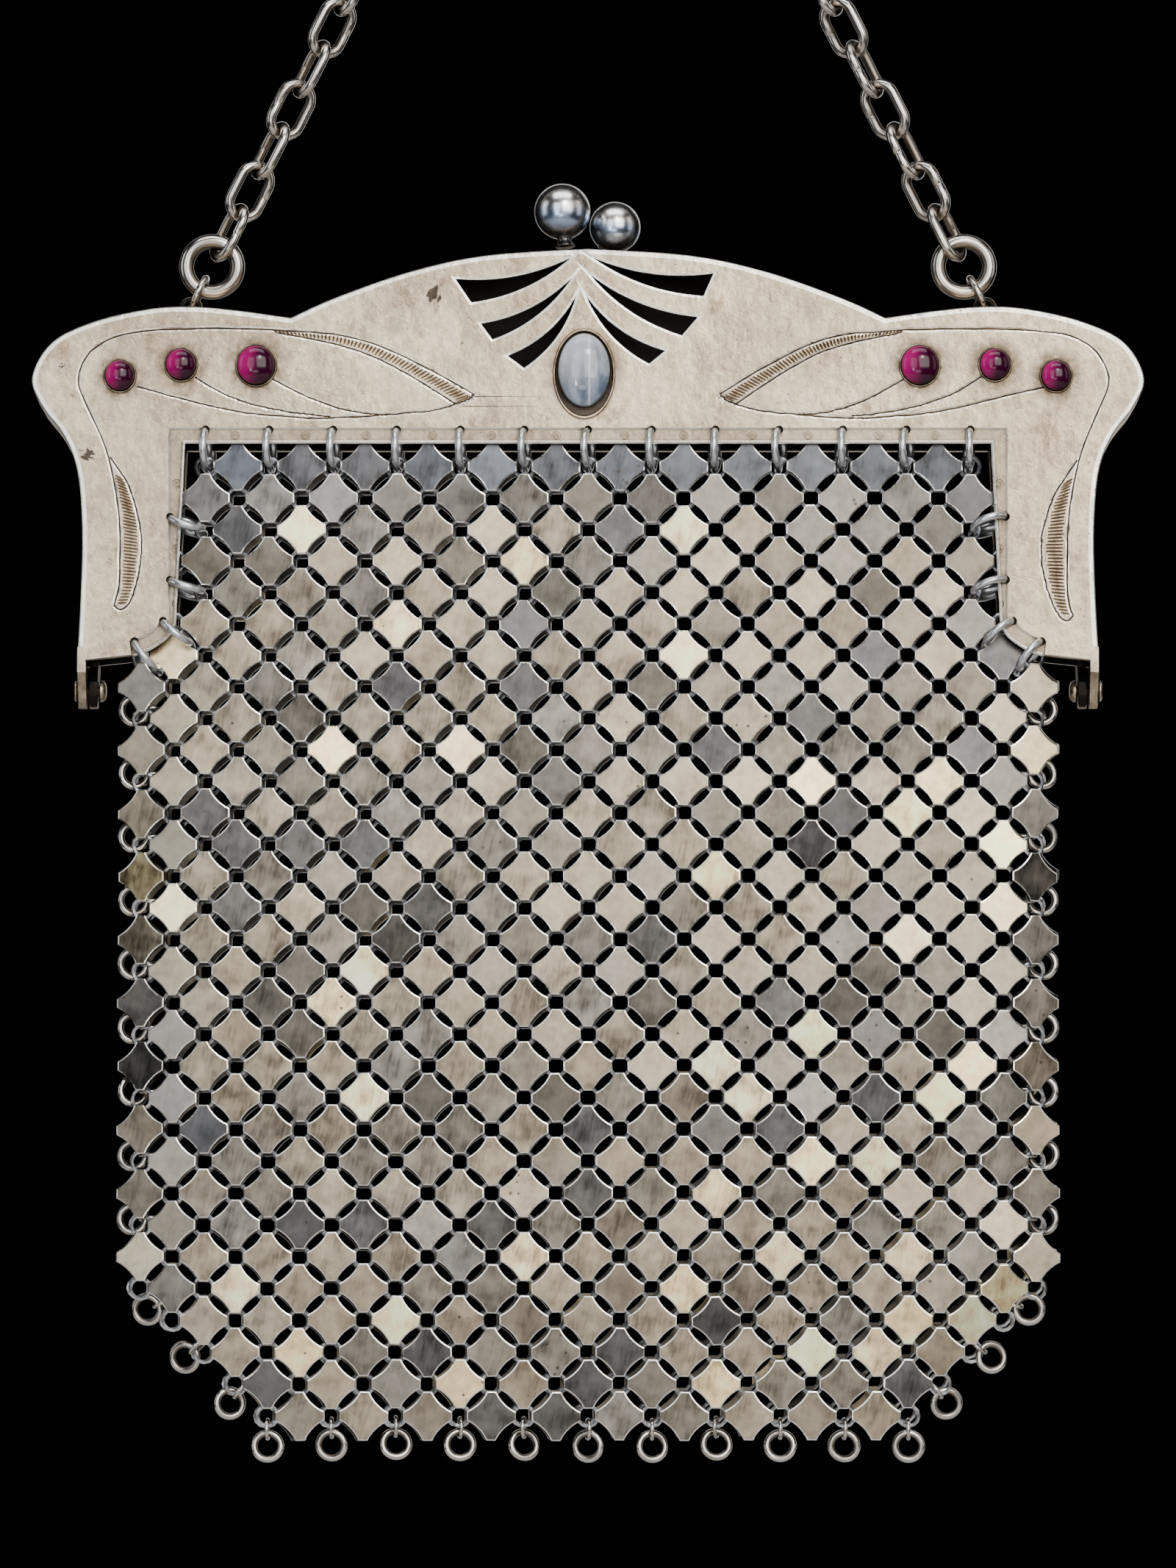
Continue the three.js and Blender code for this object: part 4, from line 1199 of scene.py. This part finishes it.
seams = {
    "ring": 4.5, "wire": 0.9, "link": 3.1, "linkWire": 0.55, "linkInward": 2.3, "linkDepth": -0.4,
    "sideX": 61.7, "sideDrop": 62.7, "sidePitch": 8.66, "sideRings": 9,
    "corners": ((59.7, 144.2, 20), (54.6, 150.7, 40), (48.5, 156.9, 50)),  # across, down, turn of the link
    "bottomDrop": 162.6, "bottomColumns": range(-10, 11, 2), "bottomScatter": 0.5,
    "twist": 22, "tilt": 10, "depth": (-0.7, 0.1), "linkLean": 15,
}


def diceTurn(reach, axis):
    return Matrix.Rotation(math.radians(dice.uniform(-reach, reach)), 4, axis)


def seamRings():
    # Rings that close the sides and hang from the bottom, each caught by a small link
    big = softRing(seams["ring"], seams["wire"], 28, 10)
    small = softRing(seams["link"], seams["linkWire"], 18, 7)
    big.data.transform(Matrix.Rotation(math.pi / 2, 4, "X"))
    places = []
    for direction in (-1, 1):
        places += [(direction * seams["sideX"], frameTop - seams["sideDrop"] - seams["sidePitch"] * i, 0)
                   for i in range(seams["sideRings"])]
        places += [(direction * x, frameTop - down, turn) for x, down, turn in seams["corners"]]
    scatter = seams["bottomScatter"]
    bottom = frameTop - seams["bottomDrop"]
    places += [(column * weave["stepAcross"], bottom + dice.uniform(-scatter, scatter), 90)
               for column in seams["bottomColumns"]]
    rings = []
    depthAxis = Vector((0, 1, 0))
    for x, z, turn in places:
        twist = diceTurn(seams["twist"], "Z") @ diceTurn(seams["tilt"], "X")
        rings.append(copyPiece(big, Matrix.Translation((x, dice.uniform(*seams["depth"]), z)) @ twist))
        angle = math.radians(turn)
        inward = Vector((-math.copysign(1, x) * math.cos(angle), 0, math.sin(angle)))
        centre = Vector((x, seams["linkDepth"], z)) + inward * seams["linkInward"]
        matrix = basis(inward, depthAxis, inward.cross(depthAxis), centre)
        rings.append(copyPiece(small, matrix @ diceTurn(seams["linkLean"], "X")))
    removePiece(big)
    removePiece(small)
    return joinAll(rings, "seamRings")


plateLook = {
    "cool": (0.48, 0.52, 0.61), "warm": (0.80, 0.67, 0.49), "golden": (1.0, 0.79, 0.44),
    # rim is the near-white of a painted highlight on each plate's bevel, inner the near-black of painted
    # shade on the plates' backs
    "spot": (0.06, 0.047, 0.04), "rim": (1.0, 0.97, 0.91), "inner": (0.05, 0.044, 0.038),
    "spotShare": 0.85, "rimPaintedLightShare": 0.9, "innerShadeShare": 0.9, "roughness": 0.3, "relief": 0.016,
}


def meshFinish():
    # Each plate has its own tone and warmth; clouds, streaks and mottling lie over all of them.
    look = plateLook
    material, shader, place = newMaterial("meshSilver", Metallic=1.0)
    tone, warm, turn = (attribute(place, name) for name in ("plateTone", "plateWarm", "plateTurn"))
    edge, inner = attribute(place, "rimHighlight"), attribute(place, "inner")
    base = warm.between(-1, 1).colours(look["cool"], look["warm"])
    base = warm.between(1, 2).colours(base, look["golden"])
    streaks = noise(place, 0.5, 1, (0.7, 1, 5), (0, 12, 0))
    mottle = noise(place, 1.1, 2)
    clouds = noise(place, 3, 2)
    level = tone * (1 + (clouds - 0.5) * 1.3 + (streaks - 0.5) * 0.35 + (mottle - 0.5) * 0.6)
    shade = level.node("ShaderNodeCombineColor", {}, {"Red": level, "Green": level, "Blue": level})
    colour = level.node("ShaderNodeMix", {"data_type": "RGBA", "blend_type": "MULTIPLY"},
                        {0: 1.0, 6: base, 7: shade}, 2)
    spots = cells(place, 1.9).between(0.15, 0.08) * turn.between(0.9, 0.94)
    colour = (spots * look["spotShare"]).colours(colour, look["spot"])
    # Painted highlight: each plate's slanting rim turns nearly white.
    colour = (edge * look["rimPaintedLightShare"]).colours(colour, look["rim"])
    # Painted shade: the backs of the plates and their prongs go nearly black.
    colour = (inner * look["innerShadeShare"]).colours(colour, look["inner"])
    link(colour, shader, "Base Color")
    rough = look["roughness"] + (clouds - 0.5) * 0.3 + (streaks - 0.5) * 0.15 - edge * 0.05
    link(rough, shader, "Roughness")
    bump(shader, streaks * 0.25 + clouds * 1.6 + mottle * 0.35, look["relief"], 0.6)
    return material


wireLooks = {
    # tarnish is the dark of tarnish and of painted shade on the inner sides
    "chain": {"bright": (0.74, 0.68, 0.62), "tarnish": (0.10, 0.065, 0.04),
              "roughness": 0.24, "tarnishAndShade": 0.85},
    "ring": {"bright": (0.84, 0.86, 0.91), "tarnish": (0.14, 0.14, 0.15),
             "roughness": 0.32, "tarnishAndShade": 0.4},
}


def wireFinish(name, look):
    # Bright where rubbing polished it; darker on the inner side of each link and ring, partly tarnish and
    # partly painted shade
    bright, tarnishAndShade = look["bright"], look["tarnishAndShade"]
    material, shader, place = newMaterial(name, Metallic=1.0)
    clouds = noise(place, 6, 1)
    # The inner side of each link and ring darkens, partly tarnish and partly painted shade where the links
    # hide it.
    innerTarnishAndShade = attribute(place, "innerSide").between(-0.3, 1.0) * tarnishAndShade
    tarnishAndShadeMask = innerTarnishAndShade.larger(clouds.between(0.5, 0.75) * 0.5 * tarnishAndShade)
    colour = (clouds * 0.6).colours(bright, tuple(c * 0.75 for c in bright))
    colour = tarnishAndShadeMask.colours(colour, look["tarnish"])
    link(colour, shader, "Base Color")
    link(look["roughness"] + (clouds - 0.5) * 0.1 + tarnishAndShadeMask * 0.1, shader, "Roughness")
    return material


ballLook = {
    # blue is a painted reflection below the middle of the ball, brown the painted shade near its post
    "bright": (1.0, 0.98, 0.95), "grey": (0.82, 0.81, 0.81), "blue": (0.42, 0.55, 0.78),
    "brown": (0.09, 0.065, 0.05), "bluishReflectionShare": 0.85, "lowShadeShare": 0.9, "roughness": 0.24,
}


def ballFinish():
    # Painted light: bright on top, a painted bluish reflection below the middle, and painted shade in dark
    # brown near the post
    look = ballLook
    material, shader, place = newMaterial("ballSilver", Metallic=1.0)
    clouds = noise(place, 1.8, 4, rough=0.6)
    height = attribute(place, "ballHeight") + (clouds - 0.5) * 0.35
    colour = clouds.between(0.35, 0.65).colours(look["bright"], look["grey"])
    # Painted reflection below the middle and painted shade near the post
    colour = (height.between(0.2, -0.15) * look["bluishReflectionShare"]).colours(colour, look["blue"])
    colour = (height.between(-0.3, -0.8) * look["lowShadeShare"]).colours(colour, look["brown"])
    link(colour, shader, "Base Color")
    link(look["roughness"] + clouds.between(0.45, 0.75) * 0.14, shader, "Roughness")
    bump(shader, clouds + noise(place, 0.4, 2) * 0.15, 0.03, 0.3)
    return material


def markHeight(ball):
    # -1 at the bottom of the ball and 1 at its top
    across = [vertex.co.x for vertex in ball.data.vertices]
    high = max(vertex.co.z for vertex in ball.data.vertices)
    wide = max(across) - min(across)
    values = [1 - 2 * (high - vertex.co.z) / wide for vertex in ball.data.vertices]
    ball.data.attributes.new("ballHeight", "FLOAT", "POINT").data.foreach_set("value", values)


# lit is the painted glow and rim the painted shade at the stone's foot
garnetLook = {"deep": (0.03, 0.0003, 0.015), "lit": (0.46, 0.005, 0.17), "rim": (0.012, 0.0, 0.005)}


def garnetFinish():
    # Deep red with a painted glow where light would come back out of the stone, and painted shade, nearly
    # black, at its foot
    material, shader, place = newMaterial("garnet", Metallic=0.0, IOR=1.55, Specular_IOR_Level=0.32)
    glow = attribute(place, "glow")
    rim = attribute(place, "footShade")
    veil = noise(place, 1.6, 3)
    lit = (glow + (veil - 0.5) * 0.25).between(0.15, 1.0)
    # Painted glow on the side that the stone leans to, and painted shade at its foot
    colour = rim.colours(lit.colours(garnetLook["deep"], garnetLook["lit"]), garnetLook["rim"])
    link(colour, shader, "Base Color")
    link(0.12 + veil * 0.05, shader, "Roughness")
    return material


moonLook = {
    # glow is a painted glow and rim the painted shade at the stone's foot
    "deep": (0.10, 0.135, 0.20), "veil": (0.40, 0.46, 0.56), "glow": (0.78, 0.83, 0.88),
    "streak": (0.86, 0.88, 0.90), "rim": (0.07, 0.075, 0.08),
    "glowShare": 0.7, "streakShare": 0.55, "rimPaintedLightShare": 0.8, "streakX": 0.7, "streakWidth": 0.22,
}


def moonFinish():
    # Milky blue with veils and one pale streak down the stone
    look = moonLook
    material, shader, place = newMaterial("moonstone", Metallic=0.0, IOR=1.6)
    streakX = stoneBox("moonstone")[0].x + look["streakX"]
    veil = noise(place, 2.6, 4, (1, 1, 1.8), rough=0.6)
    fine = noise(place, 0.9, 3, (0.35, 1, 2.2))
    glow = attribute(place, "glow")
    rim = attribute(place, "footShade")
    colour = veil.between(0.35, 0.68).colours(look["deep"], look["veil"])
    # Painted glow on the side that the stone leans to
    colour = (glow * look["glowShare"]).colours(colour, look["glow"])
    offset = place.node("ShaderNodeSeparateXYZ", {}, {"Vector": place})
    across = (offset - streakX * toMetres) * (1 / (look["streakWidth"] * toMetres))
    across = across.math("ABSOLUTE", across)
    streak = (1 - (across + (fine - 0.5) * 1.2).between(0.2, 1.0)) * look["streakShare"]
    colour = streak.colours(colour, look["streak"])
    # Painted shade at the stone's foot
    colour = (rim * look["rimPaintedLightShare"]).colours(colour, look["rim"])
    link(colour, shader, "Base Color")
    link(0.05 + fine * 0.05, shader, "Roughness")
    return material


def stoneGlow(stone, lean):
    # glow: a painted glow, as if light came back out of the stone, more on the side that it leans to.
    # The second value is painted shade at the foot: 1 at the stone's foot and 0 above it.
    points = [v.co for v in stone.data.vertices]
    middle = sum(points, Vector()) / len(points)
    low = max(p.y for p in points)
    span = low - min(p.y for p in points)
    halfSpan = max(p.x for p in points) - middle.x
    glow = stone.data.attributes.new("glow", "FLOAT", "POINT")
    rim = stone.data.attributes.new("footShade", "FLOAT", "POINT")
    for vertex in stone.data.vertices:
        away = (vertex.co - middle) / halfSpan
        glow.data[vertex.index].value = min(max(0.35 + away.x * lean[0] + away.z * lean[1], 0), 1)
        height = (low - vertex.co.y) / span
        rim.data[vertex.index].value = min(max(1 - (height - 0.1) / 0.35, 0), 1)


# The pieces, built and finished

stoneSizes = [stoneBox(node) for node in garnetNodes + ["moonstone"]]
frameMetal = frameFinish([(middle, size.x / 2) for middle, size in stoneSizes])
chainMetal = wireFinish("chainSilver", wireLooks["chain"])
ringMetal = wireFinish("ringSilver", wireLooks["ring"])
plateMetal = meshFinish()
ballMetal = ballFinish()
print("finishes ready")

front = frameHalf(-1)
cutFans(front)
print("fans cut")
cutOrnament(front)
cutPunches(front)
print("ornament cut")
for node in garnetNodes:
    weld(front, setting(node, settings["garnet"]))
weld(front, setting("moonstone", settings["moonstone"]))
addHinge(front, -1)
tidyMesh(front)
smoothPiece(front, 28)
flattenPlanes(front, (-plateShape["front"], -plateShape["ledgeFace"]))
markFaces(front, -1)
finishPiece(front, "frontFrame", frameMetal, "frame_silver", "front_frame")

back = frameHalf(1)
addHinge(back, 1)
for direction in (-1, 1):
    weld(back, chainEye(direction))
tidyMesh(back)
smoothPiece(back, 28)
flattenPlanes(back, (plateShape["front"], plateShape["ledgeFace"]))
markFaces(back, 1)
finishPiece(back, "backFrame", frameMetal, "frame_silver", "back_frame")

for direction, hand in ((-1, "left"), (1, "right")):
    finishPiece(hingePin(direction), f"hingePin_{hand}", frameMetal, "chain_silver", f"hinge_pin_{hand}")
    finishPiece(strandRing(chain["ringOuter"], chain["ringWire"], direction, ringFromEye, False),
                f"chainRing_{hand}", chainMetal, "chain_silver", f"chain_ring_{hand}")
    finishPiece(strandRing(chain["jumpOuter"], chain["jumpWire"], direction, hookInJump, True),
                f"jumpRing_{hand}", chainMetal, "chain_silver", f"jump_ring_{hand}")

garnetGlass = garnetFinish()
for node in garnetNodes:
    stone = cabochon(node)
    stoneGlow(stone, (-0.65, 0.1))
    finishPiece(stone, "stone_" + node, garnetGlass, "garnet", node)
moon = cabochon("moonstone")
stoneGlow(moon, (-0.3, 0.35))
finishPiece(moon, "stone_moonstone", moonFinish(), "moonstone", "moonstone")

for node, name, side, *numbers in balls["rows"]:
    ball = claspBall(side, *numbers)
    markHeight(ball)
    finishPiece(ball, name, ballMetal, "ball_silver", node)

finishPiece(buildChain(), "chainLinks", chainMetal, "chain_silver", "chain")

for side, node, hand in ((-1, "mesh_front", "Front"), (1, "mesh_back", "Back")):
    plates, rings = buildPanel(side)
    finishPiece(plates, "meshPlates" + hand, plateMetal, "mesh_silver", node)
    finishPiece(rings, "meshRings" + hand, ringMetal, "chain_silver", node)
    finishPiece(joinAll(sewingRings(side), "sewing"), "sewingRings" + hand, ringMetal, "chain_silver")
finishPiece(seamRings(), "seamRings", chainMetal, "chain_silver")


# Floor, light and camera

stage = {"radius": 0.42, "z": -0.36, "dark": (0.66, 0.65, 0.63), "pale": (0.72, 0.71, 0.69)}


def buildStage():
    bpy.ops.mesh.primitive_circle_add(
        vertices=96, radius=stage["radius"], fill_type="NGON", location=(0, 0, stage["z"]))
    floor = bpy.context.view_layer.objects.active
    bpy.ops.object.transform_apply(location=True)
    floor.name = "floor"
    material, shader, place = newMaterial("floor", Roughness=0.8)
    link(noise(place, 60, 3).colours(stage["dark"], stage["pale"]), shader, "Base Color")
    floor.data.materials.append(material)


lights = {
    "world": (0.0008, 0.0008, 0.001), "aim": (0, 0, -0.16),
    # place in metres, width, height, watts, colour
    "softboxes": [((0.45, -1.3, 0.25), 0.95, 1.0, 14.5, (1.0, 0.97, 0.92)),
                  ((-0.52, -1.3, 0.15), 0.62, 0.9, 4.2, (0.95, 0.97, 1.0)),
                  ((-0.1, -1.38, -0.6), 0.5, 0.2, 1.2, (1.0, 0.95, 0.88)),
                  ((0.25, -1.1, 0.55), 0.2, 0.2, 3.0, (1.0, 0.97, 0.93)),
                  ((-0.5, -1.2, -0.4), 0.14, 0.16, 1.3, (0.88, 0.94, 1.0)),
                  ((1.0, -0.3, 0.1), 0.4, 0.9, 1.2, (1.0, 0.97, 0.93)),
                  ((-1.1, -0.2, 0.1), 0.4, 0.9, 1.6, (0.92, 0.96, 1.0)),
                  ((0.0, -0.4, 0.9), 1.1, 0.5, 6, (0.97, 0.98, 1.0)),
                  ((0.2, 1.6, 0.2), 1.6, 1.4, 7, (1.0, 0.98, 0.95))],
}


def buildLight():
    world = bpy.data.worlds.new("studio")
    bpy.context.scene.world = world
    world.use_nodes = True
    world.node_tree.nodes["Background"].inputs["Color"].default_value = (*lights["world"], 1)
    aim = Vector(lights["aim"])
    for place, width, height, watts, colour in lights["softboxes"]:
        data = bpy.data.lights.new("softbox", "AREA")
        data.shape, data.size, data.size_y = "RECTANGLE", width, height
        data.energy, data.color = watts, colour
        box = bpy.data.objects.new("softbox", data)
        bpy.context.collection.objects.link(box)
        box.location = place
        box.rotation_euler = (aim - Vector(place)).to_track_quat("-Z", "Y").to_euler()
        box.visible_camera = False


# Degrees that the camera looks up from below; the picture's middle and height at the front plate's plane
view = {"distance": 1400, "below": 5, "middleDrop": 73.2, "height": 212.6, "planeY": -5, "sensor": 36}


def buildCamera():
    data = bpy.data.cameras.new("camera")
    camera = bpy.data.objects.new("camera", data)
    bpy.context.collection.objects.link(camera)
    below = math.radians(view["below"])
    middle = Vector((0, view["planeY"], frameTop - view["middleDrop"]))
    place = middle + Vector((0, -math.cos(below), -math.sin(below))) * view["distance"]
    camera.location = place * toMetres
    camera.rotation_euler = (middle - place).to_track_quat("-Z", "Y").to_euler()
    data.sensor_fit = "AUTO"
    data.sensor_width = view["sensor"]
    data.lens = view["sensor"] * view["distance"] / view["height"]
    bpy.context.scene.camera = camera


buildStage()
buildLight()
buildCamera()
print("stage ready")
